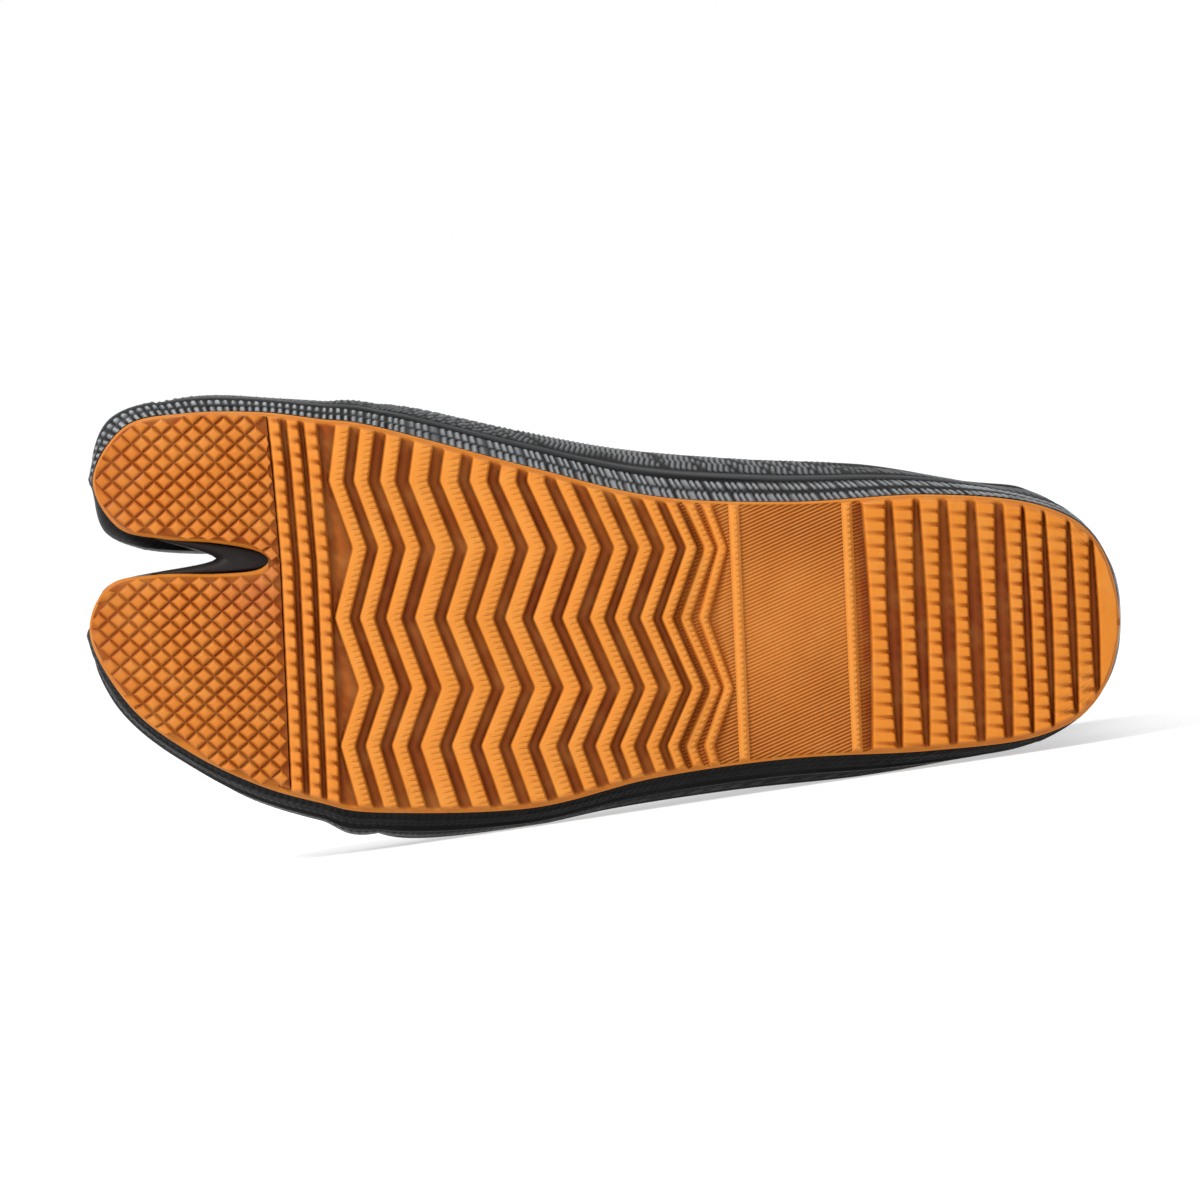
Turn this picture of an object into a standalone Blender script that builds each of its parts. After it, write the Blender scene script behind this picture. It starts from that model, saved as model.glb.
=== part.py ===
"""Jika tabi: a split-toe work shoe for the right foot, lying on its outer side.

The shoe is modelled standing in its own frame: +X from heel to toe, +Y to the inner (big toe) side, +Z up,
with the tread's flat tops on z = 0. An empty then lays it on its outer side, the way an empty shoe rests.
"""

import math

import bmesh
import bpy
import numpy as np
from mathutils import Matrix, Vector

# Driving sizes, in metres
SOLE_LENGTH = 0.2665
BALL_WIDTH = 0.0996
ANKLE_HEIGHT = 0.088
COLLAR_HEIGHT = 0.147
TOE_SPRING = 0.008
HEEL_SPRING = 0.003
GAP = 0.0003
# Where the toe spring starts and the heel's roll ends, as shares of SOLE_LENGTH
TOE_SPRING_FROM = 0.70
HEEL_ROLL_TO = 0.13

# Outsole
LUG_HEIGHT = 0.0026
PLATE_THICKNESS = 0.0030
LIP = 0.0010
TREAD_MARGIN = 0.0016
BAR_WIDTH = 0.0044
BAR_DRAFT = 0.0004
BAR_ROOT = 0.0005
TREAD_SLANT = 0.045
ZIGZAG_DEPTH = 0.0072
RIB_HEIGHT = 0.0010
RIB_WIDTH = 0.0014
TOE_PAD_HEIGHT = 0.0018

# Upper and what is cemented or sewn over it
UPPER_WALL = 0.0018
EDGE_INSET = 0.0016
HEEL_SHARE = 0.20
HEEL_SQUARENESS = 0.78
FOXING_HEIGHT = 0.0125
FOXING_THICKNESS = 0.0016
NOTCH_FOXING = 0.45
FLAP_THICKNESS = 0.0014
BACK_STAY_THICKNESS = 0.0010
INSOLE_THICKNESS = 0.0030
INSOLE_CLEARANCE = 0.0008
HOOK_COUNT = 5
HOOK_LENGTH = 0.0050
HOOK_WIDTH = 0.0095
HOOK_THICKNESS = 0.0006
HOOK_SHOULDER = 0.3
HOOK_START = 0.0012
HOOK_LIFT = 0.0009

# How finely the forms are divided
BODY_STEPS = 2
TOE_STEPS = 3
FOXING_ROWS = 3
WALL_ROWS = 8
# The closure flap's place on the upper: lines counted down from the collar, rows up from the foxing.
# The hooks stand along its rear edge between two places counted the same way.
FLAP_LINES = (0, 7)
FLAP_ROWS = (3, 6)
HOOK_LINES = (0.55, 4.7)

# Kilograms per cubic metre, by material
DENSITY = {
    "amber_rubber": 1150.0,
    "black_rubber": 1200.0,
    "black_canvas": 500.0,
    "flap_canvas": 500.0,
    "black_tape": 500.0,
    "insole_cloth": 300.0,
    "brass": 8500.0,
}

# Sole outline, once round from the back of the heel: along as a share of SOLE_LENGTH from the heel's back,
# across as a share of BALL_WIDTH to the inner side, and how far the widest point of the wall above stands
# outside the edge, as a share of BALL_WIDTH.
# columns: along, across, swell
OUTER_BODY = [
    (0.000, 0.000, 0.360),
    (0.021, -0.197, 0.165),
    (0.078, -0.295, 0.072),
    (0.185, -0.334, 0.078),
    (0.319, -0.354, 0.092),
    (0.450, -0.404, 0.083),
    (0.572, -0.483, 0.056),
    (0.720, -0.494, 0.053),
]
OUTER_TOES = [
    (0.777, -0.468, 0.046),
    (0.837, -0.422, 0.043),
    (0.904, -0.336, 0.030),
    (0.961, -0.219, 0.028),
    (1.000, -0.040, 0.014),
]
NOTCH_OUTER_SIDE = [
    (0.983, 0.092, 0.010),
    (0.936, 0.123, 0.019),
    (0.878, 0.125, 0.031),
    (0.839, 0.134, 0.018),
    (0.826, 0.160, 0.014),
]
NOTCH_INNER_SIDE = [
    (0.839, 0.186, 0.040),
    (0.878, 0.205, 0.066),
    (0.930, 0.216, 0.063),
    (0.974, 0.248, 0.042),
    (0.9975, 0.372, 0.014),
]
BIG_TOE = [
    (0.966, 0.508, 0.042),
    (0.908, 0.542, 0.048),
    (0.837, 0.545, 0.040),
    (0.777, 0.527, 0.046),
    (0.720, 0.506, 0.058),
]
INNER_BODY = [
    (0.572, 0.402, 0.108),
    (0.450, 0.326, 0.140),
    (0.319, 0.312, 0.132),
    (0.185, 0.331, 0.096),
    (0.078, 0.303, 0.080),
    (0.021, 0.206, 0.185),
]

# The seam up the back of the shaft, from the collar down to the foxing's top edge, and the crest over the
# instep that each of its points faces. Heights are shares: 0 the sole's upper face, 1 the ankle, 2 the collar.
# columns: along, up, outer half width, inner half width
BACK_SEAM = [
    (-0.004, 2.03, 0.345, 0.345),
    (0.011, 1.50, 0.330, 0.330),
    (0.024, 0.92, 0.328, 0.332),
    (0.014, 0.52, 0.338, 0.346),
    (0.003, 0.15, 0.348, 0.360),
]
# columns: along, across, up, squareness of the section (1 is an ellipse, less is boxier)
CREST = [
    (0.364, 0.000, 2.00, 1.00),
    (0.370, 0.000, 1.45, 1.00),
    (0.387, 0.000, 1.04, 1.00),
    (0.412, 0.002, 0.93, 1.00),
    (0.433, 0.005, 0.865, 0.99),
    (0.452, 0.010, 0.815, 0.97),
    (0.466, 0.016, 0.780, 0.95),
    (0.485, 0.024, 0.740, 0.93),
    (0.517, 0.038, 0.680, 0.91),
    (0.558, 0.056, 0.610, 0.89),
    (0.606, 0.078, 0.540, 0.87),
    (0.662, 0.106, 0.468, 0.85),
    (0.720, 0.140, 0.400, 0.83),
]
OUTER_TOE_CREST = [
    (0.777, 0.030, 0.368, 0.81),
    (0.822, -0.050, 0.340, 0.80),
    (0.860, -0.085, 0.316, 0.79),
    (0.888, -0.088, 0.300, 0.79),
    (0.908, -0.074, 0.294, 0.79),
]
BIG_TOE_CREST = [
    (0.777, 0.251, 0.362, 0.81),
    (0.820, 0.320, 0.340, 0.80),
    (0.858, 0.360, 0.318, 0.79),
    (0.888, 0.378, 0.303, 0.79),
    (0.910, 0.384, 0.297, 0.79),
]

# Zigzag bars across the ball, from the toe: middle as a share of SOLE_LENGTH, width as a share of BAR_WIDTH
# and the depth of the zigzag as a share of ZIGZAG_DEPTH.
# columns: along, width, depth
ZIGZAG_BARS = [
    (0.7437, 0.73, 0.75),
    (0.7193, 0.73, 0.78),
    (0.6929, 0.77, 0.82),
    (0.6627, 1.00, 0.86),
    (0.6325, 0.94, 0.90),
    (0.6036, 0.91, 0.93),
    (0.5749, 0.89, 0.97),
    (0.5471, 0.91, 1.00),
    (0.5205, 0.73, 1.00),
    (0.4938, 0.73, 1.00),
    (0.4702, 0.68, 1.00),
    (0.4458, 0.61, 1.00),
    (0.4259, 0.50, 1.00),
]
THIN_ZIGZAGS = [
    (0.4086, 0.43, 1.00),
    (0.3932, 0.34, 0.80),
]
# Where the zigzag turns, as shares of BALL_WIDTH, and which way: 1 towards the toe, -1 towards the heel
# columns: across, turn
ZIGZAG_TURNS = [
    (0.540, -0.05),
    (0.365, 1.00),
    (0.192, -1.00),
    (0.010, 1.00),
    (-0.171, -1.00),
    (-0.321, 1.00),
    (-0.540, -1.00),
]
# Straight bars behind the toe pads, and how their line bows forward at the inner side, as a share of
# BAR_WIDTH
# columns: along, width
TOE_BARS = [(0.8049, 0.55), (0.7871, 0.55), (0.7700, 0.60)]
# columns: across, bow
TOE_BAR_LINE = [(0.580, 0.50), (0.400, 0.24), (0.150, 0.00), (-0.520, 0.00)]
TOE_PADS_FROM = 0.8215
WAIST_RIBS = [0.3700, 0.2604]
# Straight bars under the heel; each is widest at its ends.
# columns: along, width
HEEL_BARS = [
    (0.2341, 0.82),
    (0.2062, 0.72),
    (0.1805, 0.66),
    (0.1535, 0.66),
    (0.1265, 0.66),
    (0.1002, 0.62),
    (0.0799, 0.62),
    (0.0582, 0.78),
    (0.0356, 0.70),
    (0.0112, 1.00),
]
HEEL_BAR_FLARE = 0.45
# The ends and the middle of the straight bars, as shares of BALL_WIDTH across
STRAIGHT_BAR_LINE = [0.52, 0.03, -0.52]


def curve(rows, at):
    """Points of a smooth curve through rows of numbers, at places counted in rows (Catmull-Rom)."""
    rows = np.asarray(rows, float)
    at = np.asarray(at, float)
    low = np.clip(np.floor(at).astype(int), 0, len(rows) - 2)
    t = (at - low)[:, None]
    slope = np.gradient(rows, axis=0)
    p, q, m, n = rows[low], rows[low + 1], slope[low], slope[low + 1]
    return (
        (2 * t**3 - 3 * t**2 + 1) * p
        + (t**3 - 2 * t**2 + t) * m
        + (3 * t**2 - 2 * t**3) * q
        + (t**3 - t**2) * n
    )


def outline_rows():
    """The sole's outline table as one closed loop, without repeating its first row."""
    groups = (OUTER_BODY, OUTER_TOES, NOTCH_OUTER_SIDE, NOTCH_INNER_SIDE, BIG_TOE, INNER_BODY)
    return np.array([row for group in groups for row in group])


def outline(at):
    """Points of the sole's edge, in metres, at places counted in rows round the loop."""
    rows = outline_rows()[:, :2] * (SOLE_LENGTH, BALL_WIDTH)
    count = len(rows)
    loop = np.vstack([rows[-2:], rows, rows[:3]])
    return curve(loop, np.mod(at, count) + 2)


def inset(at, distance):
    """Points of the sole's edge moved inwards by a distance."""
    step = 0.02
    points = outline(at)
    along = outline(np.asarray(at) + step) - outline(np.asarray(at) - step)
    along /= np.linalg.norm(along, axis=1)[:, None]
    return points + np.stack([-along[:, 1], along[:, 0]], axis=1) * distance


def rise(x):
    """How far the sole is lifted off the floor at x: the toe spring and the slight roll of the heel."""
    share = x / SOLE_LENGTH
    toe = np.clip((share - TOE_SPRING_FROM) / (1 - TOE_SPRING_FROM), 0, 1)
    heel = np.clip(1 - share / HEEL_ROLL_TO, 0, 1)
    return TOE_SPRING * toe**2 + HEEL_SPRING * heel**2


SOLE_TOP = LUG_HEIGHT + PLATE_THICKNESS
FOOT_BASE = SOLE_TOP + GAP


def height(share):
    """Height for a share: 0 the sole's upper face, 1 the ankle, 2 the collar."""
    share = np.asarray(share, float)
    low = FOOT_BASE + np.clip(share, 0, 1) * (ANKLE_HEIGHT - FOOT_BASE)
    return low + np.clip(share - 1, 0, None) * (COLLAR_HEIGHT - ANKLE_HEIGHT)


def crest_points(table, at):
    """Crest points and squareness at places counted in rows."""
    rows = np.array(table)
    points = np.stack(
        [rows[:, 0] * SOLE_LENGTH, rows[:, 1] * BALL_WIDTH, height(rows[:, 2]), rows[:, 3]],
        axis=1,
    )
    return curve(points, at)


class Sections:
    """Half sections of the upper: lines that run up the wall from its lower edge to its crest.

    Line by line they go once round the shoe: down the back seam, along the outer side, round the outer toes,
    through the notch, round the big toe, back along the inner side and up the back seam again.
    """

    def __init__(self, body_steps, toe_steps):
        seam = len(BACK_SEAM)
        body = len(OUTER_BODY) - 1
        toes = len(OUTER_TOES)
        down = np.arange(seam * body_steps) / body_steps
        side = np.arange(body * body_steps) / body_steps
        toe = np.arange(toes * toe_steps) / toe_steps
        self.first_sole_line = len(down)
        at = [side, body + toe, body + toes + toe, body + 2 * toes + toe, body + 3 * toes + toe]
        at = np.concatenate(at + [body + 4 * toes + side, [2 * body + 4 * toes]])
        self.outline_at = at
        crest = self.crest_lines(np.concatenate([down, seam + side]), np.append(toe, toes))
        self.crest, self.square = crest[:, :3], crest[:, 3]
        self.edge = self.edge_points(down, at)
        height_share = (self.edge[:, 2] - FOOT_BASE) / (ANKLE_HEIGHT - FOOT_BASE)
        heel = np.clip(1 - height_share - self.edge[:, 0] / (HEEL_SHARE * SOLE_LENGTH), 0, 1)
        self.low_square = self.square + (HEEL_SQUARENESS - self.square) * heel
        self.across = self.across_directions(seam * body_steps + body * body_steps, len(toe))
        self.half = self.half_widths(down, at)
        self.count = len(self.edge)

    def crest_lines(self, body_at, toe_at):
        """Crest point and squareness for every line; both sides of the shoe share their crest exactly."""
        body = crest_points(CREST, body_at)
        fork = crest_points(CREST, [len(CREST) - 1.0])
        small = crest_points([CREST[-1]] + OUTER_TOE_CREST, toe_at)
        big = crest_points([CREST[-1]] + BIG_TOE_CREST, toe_at)
        return np.vstack([body, small[:-1], small[:0:-1], big[:-1], big[:0:-1], fork, body[::-1]])

    def edge_points(self, down, at):
        """Lower ends of the lines: the back seam, the sole's edge drawn in, and the back seam again."""
        flat = inset(at, EDGE_INSET)
        sole = np.column_stack([flat, FOOT_BASE + rise(flat[:, 0])])
        rows = np.array([(row[0] * SOLE_LENGTH, 0.0, height(row[1])) for row in BACK_SEAM])
        rows[-1, 2] = FOOT_BASE + FOXING_HEIGHT + rise(rows[-1, 0])
        seam = curve(np.vstack([rows, sole[:1]]), down)
        return np.vstack([seam, sole, seam[::-1]])

    def across_directions(self, body, toe):
        """Level direction in which each half section is widest."""
        across = self.edge - self.crest
        across[:, 2] = 0
        across[: body + 1] = (0, -1, 0)
        across[body + 4 * toe :] = (0, 1, 0)
        return across / np.linalg.norm(across, axis=1)[:, None]

    def half_widths(self, down, at):
        """Greatest distance of each half section from its crest, smoothly through the tables' rows."""
        rows = outline_rows()
        swell = np.append(rows[:, 2], rows[0, 2]) * BALL_WIDTH
        here = np.isclose(at, np.round(at), atol=1e-6)
        lines = np.flatnonzero(here) + len(down)
        reach = -((self.crest - self.edge) * self.across).sum(axis=1)
        at_rows = reach[lines] + swell
        seam = np.array(BACK_SEAM)[:, 2:] * BALL_WIDTH
        chain = np.concatenate([seam[:, 0], at_rows, seam[::-1, 1]])
        end = len(chain) - 1
        places = np.concatenate([down, len(BACK_SEAM) + at, end - down[::-1]])
        half = curve(chain[:, None], places)[:, 0]
        return np.maximum(half, reach * 1.001)

    def walls(self, foxing_rows, wall_rows):
        """Grid of points, lines by rows: the first rows span the foxing's height, the others reach the crest."""
        reach = -((self.crest - self.edge) * self.across).sum(axis=1)
        up = self.crest - self.edge + reach[:, None] * self.across
        share = np.clip(reach / self.half, -1, 1)
        start = -np.arccos(np.sign(share) * np.abs(share) ** (1 / self.low_square))
        low_square, square = self.low_square[:, None], self.square[:, None]

        def along(angle):
            power = np.where(angle < 0, low_square, square)
            foot = np.sin(-start)[:, None] ** low_square
            lift = np.sign(angle) * np.abs(np.sin(angle)) ** power
            out = self.half[:, None] * np.sign(np.cos(angle)) * np.abs(np.cos(angle)) ** power
            climbed = (foot + lift) / (1 + foot)
            return (
                self.crest[:, None]
                + out[..., None] * self.across[:, None]
                - (1 - climbed)[..., None] * up[:, None]
            )

        fine = start[:, None] + (math.pi / 2 - start)[:, None] * np.linspace(0, 1, 200)
        points = along(fine)
        above = points[..., 2] - FOOT_BASE - rise(points[..., 0])
        top = np.array([np.interp(FOXING_HEIGHT, h, a) for h, a in zip(above, fine)])
        top = np.where(above[:, 0] > FOXING_HEIGHT - 1e-6, start, top)
        low = np.linspace(0, 1, foxing_rows + 1)
        high = np.linspace(0, 1, wall_rows + 1)[1:]
        angle = np.hstack(
            [
                start[:, None] + (top - start)[:, None] * low,
                top[:, None] + (math.pi / 2 - top)[:, None] * high,
            ]
        )
        grid = along(angle)
        grid[:, -1] = self.crest
        grid[:, 0] = self.edge
        seam = top == start
        grid[seam, 1 : foxing_rows + 1] = self.edge[seam, None]
        return grid


def welded(grid):
    """The grid's distinct points, each grid place's point number, and outward unit normals at the points."""
    flat = np.round(grid.reshape(-1, 3), 7)
    points, number = np.unique(flat, axis=0, return_inverse=True)
    number = number.reshape(grid.shape[:2])
    normals = np.zeros_like(points)
    for face in faces_of(points, number):
        corners = points[list(face)]
        normals[list(face)] += np.cross(corners[1] - corners[0], corners[2] - corners[0])
    length = np.linalg.norm(normals, axis=1)[:, None]
    return points, number, normals / np.where(length > 0, length, 1)


def faces_of(points, number):
    """Triangles between neighbouring lines and rows; each face is split along its shorter diagonal."""
    faces = []
    for i in range(number.shape[0] - 1):
        for j in range(number.shape[1] - 1):
            a, b, c, d = number[i, j], number[i + 1, j], number[i + 1, j + 1], number[i, j + 1]
            if np.linalg.norm(points[a] - points[c]) <= np.linalg.norm(points[b] - points[d]):
                halves = ((a, b, c), (a, c, d))
            else:
                halves = ((a, b, d), (b, c, d))
            faces += [tuple(int(v) for v in half) for half in halves if len(set(half)) == 3]
    return faces


def new_object(name, points, faces, collection, material=None):
    """A mesh object from points and faces, without the points that no face uses."""
    used = sorted({v for face in faces for v in face})
    place = {v: k for k, v in enumerate(used)}
    mesh = bpy.data.meshes.new(name)
    mesh.from_pydata([tuple(points[v]) for v in used], [], [[place[v] for v in face] for face in faces])
    return linked(name, mesh, collection, material)


def linked(name, mesh, collection, material=None):
    """An object for a mesh, shaded smooth but for its sharp edges."""
    mesh.name = name
    obj = bpy.data.objects.new(name, mesh)
    collection.objects.link(obj)
    if material:
        mesh.materials.clear()
        mesh.materials.append(material)
    mesh.shade_smooth()
    mesh.set_sharp_from_angle(angle=math.radians(35))
    return obj


def material(name, colour, roughness, metallic=0.0):
    """A Principled material with one colour."""
    made = bpy.data.materials.new(name)
    made.use_nodes = True
    shader = made.node_tree.nodes["Principled BSDF"]
    shader.inputs["Base Color"].default_value = (*colour, 1.0)
    shader.inputs["Roughness"].default_value = roughness
    shader.inputs["Metallic"].default_value = metallic
    made.diffuse_color = (*colour, 1.0)
    return made


def layer(name, shell, parts, under, over, collection, finish):
    """A closed piece between two distances from the upper's outer face, outwards counted positive.

    Each part is a range of lines and a range of rows of the upper's grid, and parts that meet are one piece.
    The outer distance is one number, or one for each line. Where the piece stands on the sole, its foot is
    level.
    """
    points, number, normals = shell
    far = np.zeros(len(points))
    faces = []
    for lines, rows in parts:
        part = number[lines[0] : lines[1] + 1, rows[0] : rows[1] + 1]
        faces += faces_of(points, part)
        far[part] = np.broadcast_to(over, number.shape[:1])[lines[0] : lines[1] + 1, None]
    foot = np.unique(number[:, 0])
    foot = foot[np.isclose(points[foot, 2], FOOT_BASE + rise(points[foot, 0]), atol=1e-6)]
    away = normals.copy()
    away[foot, 2] = 0
    away /= np.maximum(np.linalg.norm(away, axis=1), 1e-9)[:, None]
    inner = points + away * under
    outer = points + away * far[:, None]
    for side in (inner, outer):
        side[foot, 2] = FOOT_BASE + rise(side[foot, 0])
    count = len(points)
    edges = {(face[k - 1], face[k]) for face in faces for k in range(3)}
    rim = [(a, b, b + count, a + count) for a, b in sorted(edges) if (b, a) not in edges]
    low = [face[::-1] for face in faces]
    high = [tuple(v + count for v in face) for face in faces]
    return new_object(name, np.vstack([inner, outer]), low + high + rim, collection, finish)


def slab(name, at, margin, low, high, collection, finish=None, edge=0.0):
    """A level plate with the sole's outline, drawn in by a margin; its lower edge is chamfered by edge."""
    shape = bmesh.new()
    rings = []
    for drawn_in, z in ((margin + edge, low), (margin, low + edge), (margin, high)):
        if rings and not edge and z == low:
            continue
        flat = inset(at[:-1], drawn_in)
        rings.append([shape.verts.new((x, y, z)) for x, y in flat])
    for under, over in zip(rings, rings[1:]):
        for k in range(len(under)):
            shape.faces.new((under[k - 1], under[k], over[k], over[k - 1]))
    shape.faces.new(rings[0])
    shape.faces.new(rings[-1])
    bmesh.ops.recalc_face_normals(shape, faces=shape.faces)
    mesh = bpy.data.meshes.new(name)
    shape.to_mesh(mesh)
    shape.free()
    obj = bpy.data.objects.new(name, mesh)
    collection.objects.link(obj)
    if finish:
        mesh.materials.append(finish)
    return obj


def bar(shape, along, line, widths, bottom):
    """Adds one bar to a bmesh: a closed prism that stands on the sole's underside.

    Each place on its line is a share of BALL_WIDTH across and a distance forward; its sides slope by the
    draft.
    """
    top = LUG_HEIGHT + BAR_ROOT
    rings = []
    for (share, forward), width in zip(line, widths):
        across = share * BALL_WIDTH
        middle = along * SOLE_LENGTH + forward + across * TREAD_SLANT
        ring = []
        for side, z, draft in ((1, bottom, 0), (1, top, BAR_DRAFT), (-1, top, BAR_DRAFT), (-1, bottom, 0)):
            ring.append(shape.verts.new((middle + side * (width / 2 + draft), across, z)))
        rings.append(ring)
    for before, after in zip(rings, rings[1:]):
        for k in range(4):
            shape.faces.new((before[k], before[k - 1], after[k - 1], after[k]))
    shape.faces.new(rings[0])
    shape.faces.new(rings[-1][::-1])


def tread(collection):
    """All bars of the tread as one mesh, longer than the sole is wide."""
    shape = bmesh.new()
    low = LUG_HEIGHT - RIB_HEIGHT
    for table, bottom in ((ZIGZAG_BARS, 0.0), (THIN_ZIGZAGS, low)):
        for along, width, depth in table:
            line = [(across, turn * depth * ZIGZAG_DEPTH / 2) for across, turn in ZIGZAG_TURNS]
            bar(shape, along, line, [width * BAR_WIDTH] * len(line), bottom)
    for along, width in TOE_BARS:
        line = [(across, bow * BAR_WIDTH) for across, bow in TOE_BAR_LINE]
        bar(shape, along, line, [width * BAR_WIDTH] * len(line), 0.0)
    straight = [(across, 0.0) for across in STRAIGHT_BAR_LINE]
    for along in WAIST_RIBS:
        bar(shape, along, straight, [RIB_WIDTH] * 3, low)
    for along, width in HEEL_BARS:
        middle = width * BAR_WIDTH
        ends = middle * (1 + HEEL_BAR_FLARE)
        bar(shape, along, straight, [ends, middle, ends], 0.0)
    bmesh.ops.recalc_face_normals(shape, faces=shape.faces)
    mesh = bpy.data.meshes.new("tread_bars")
    shape.to_mesh(mesh)
    shape.free()
    obj = bpy.data.objects.new("tread_bars", mesh)
    collection.objects.link(obj)
    return obj


def boolean(obj, other, operation):
    """Joins, cuts or limits an object by another."""
    step = obj.modifiers.new(operation.lower(), "BOOLEAN")
    step.operation = operation
    step.object = other
    step.solver = "EXACT"


def baked(obj):
    """The object's mesh with its modifiers applied."""
    bpy.context.view_layer.update()
    graph = bpy.context.evaluated_depsgraph_get()
    return bpy.data.meshes.new_from_object(obj.evaluated_get(graph))


def spring(mesh):
    """Splits a level mesh across the toe and the heel, and lifts those by the sole's spring."""
    shape = bmesh.new()
    shape.from_mesh(mesh)
    cuts = np.concatenate([np.linspace(0.015, HEEL_ROLL_TO, 5), np.linspace(TOE_SPRING_FROM, 0.985, 9)])
    for share in cuts:
        geometry = shape.verts[:] + shape.edges[:] + shape.faces[:]
        plane = (share * SOLE_LENGTH, 0, 0)
        bmesh.ops.bisect_plane(shape, geom=geometry, dist=1e-6, plane_co=plane, plane_no=(1, 0, 0))
    bmesh.ops.triangulate(shape, faces=shape.faces)
    for vert in shape.verts:
        vert.co.z += float(rise(vert.co.x))
    bmesh.ops.recalc_face_normals(shape, faces=shape.faces)
    shape.to_mesh(mesh)
    shape.free()


def outsole(at, collection, helpers, finish):
    """The amber rubber outsole: a thin plate with its lip, a raised pad under each toe part, and the bars."""
    plate = slab("outsole_plate", at, 0.0, LUG_HEIGHT, SOLE_TOP, helpers, edge=LIP)
    limit = slab("tread_limit", at, TREAD_MARGIN, -LIP, SOLE_TOP - LIP, helpers)
    bars = tread(helpers)
    boolean(bars, limit, "INTERSECT")
    boolean(plate, linked("tread_clipped", baked(bars), helpers), "UNION")
    for pad in toe_pads(at, helpers):
        boolean(plate, pad, "UNION")
    mesh = baked(plate)
    spring(mesh)
    linked("outsole", mesh, collection, finish)


def toe_pads(at, helpers):
    """The raised pads that carry the toe studs, one in front of the toe bars on each side of the notch."""
    back = TOE_PADS_FROM * SOLE_LENGTH
    middle = NOTCH_OUTER_SIDE[-1][1] * BALL_WIDTH
    for name, side in (("outer_pad", -1), ("inner_pad", 1)):
        low, high = LUG_HEIGHT - TOE_PAD_HEIGHT, LUG_HEIGHT + BAR_ROOT
        block = slab(name, at, 1.25 * TREAD_MARGIN, low, high, helpers)
        cutter = bmesh.new()
        bmesh.ops.create_cube(cutter, size=1.0)
        mesh = bpy.data.meshes.new(name + "_limit")
        cutter.to_mesh(mesh)
        cutter.free()
        size = Vector((SOLE_LENGTH, BALL_WIDTH, 10 * LUG_HEIGHT))
        centre = Vector((back + size.x / 2, middle + side * size.y / 2, 0))
        mesh.transform(Matrix.LocRotScale(centre, None, size))
        boolean(block, linked(name + "_limit", mesh, helpers), "INTERSECT")
        yield linked(name + "_cut", baked(block), helpers)


def insole(at, collection, helpers, finish):
    """The insole: a flat sheet inside the upper's lower edge, bent with the sole."""
    margin = EDGE_INSET + UPPER_WALL + INSOLE_CLEARANCE
    sheet = slab("insole_flat", at, margin, FOOT_BASE, FOOT_BASE + INSOLE_THICKNESS, helpers)
    mesh = sheet.data.copy()
    spring(mesh)
    linked("insole", mesh, collection, finish)


def collections():
    """An empty scene with one collection for the shoe and one for helpers."""
    for obj in list(bpy.data.objects):
        bpy.data.objects.remove(obj)
    made = []
    for name in ("jika_tabi", "helpers"):
        group = bpy.data.collections.new(name)
        bpy.context.scene.collection.children.link(group)
        made.append(group)
    return made


def foxing(sections, shell, collection, finish):
    """The rubber band round the foot, thinner inside the notch, with its lower edge level on the sole."""
    at = np.full(sections.count, -1.0)
    at[sections.first_sole_line :][: len(sections.outline_at)] = sections.outline_at
    tips = len(OUTER_BODY) + len(OUTER_TOES) - 1
    inside = np.minimum(at - tips, tips + 2 * len(OUTER_TOES) - at)
    share = 1 - (1 - NOTCH_FOXING) * np.clip(inside / 1.5, 0, 1)
    seam = (len(BACK_SEAM) - 1) * BODY_STEPS
    parts = [((seam, sections.count - 1 - seam), (0, FOXING_ROWS))]
    layer("foxing", shell, parts, GAP, GAP + FOXING_THICKNESS * share, collection, finish)


def back_stay(sections, shell, collection, finish):
    """The reinforcing strip over the seam up the back."""
    seam = (len(BACK_SEAM) - 1) * BODY_STEPS - 1
    rows = (FOXING_ROWS, FOXING_ROWS + 1)
    parts = [((0, seam), rows), ((sections.count - 1 - seam, sections.count - 1), rows)]
    layer("back_stay", shell, parts, GAP, GAP + BACK_STAY_THICKNESS, collection, finish)


def flap(sections, shell, collection, finish):
    """The closure's outer flap on the inner side of the shaft; its rear edge carries the hooks."""
    first, last = FLAP_LINES
    lines = (sections.count - 1 - last, sections.count - 1 - first)
    rows = (FOXING_ROWS + FLAP_ROWS[0], FOXING_ROWS + FLAP_ROWS[1])
    layer("closure_flap", shell, [(lines, rows)], GAP, GAP + FLAP_THICKNESS, collection, finish)


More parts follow.
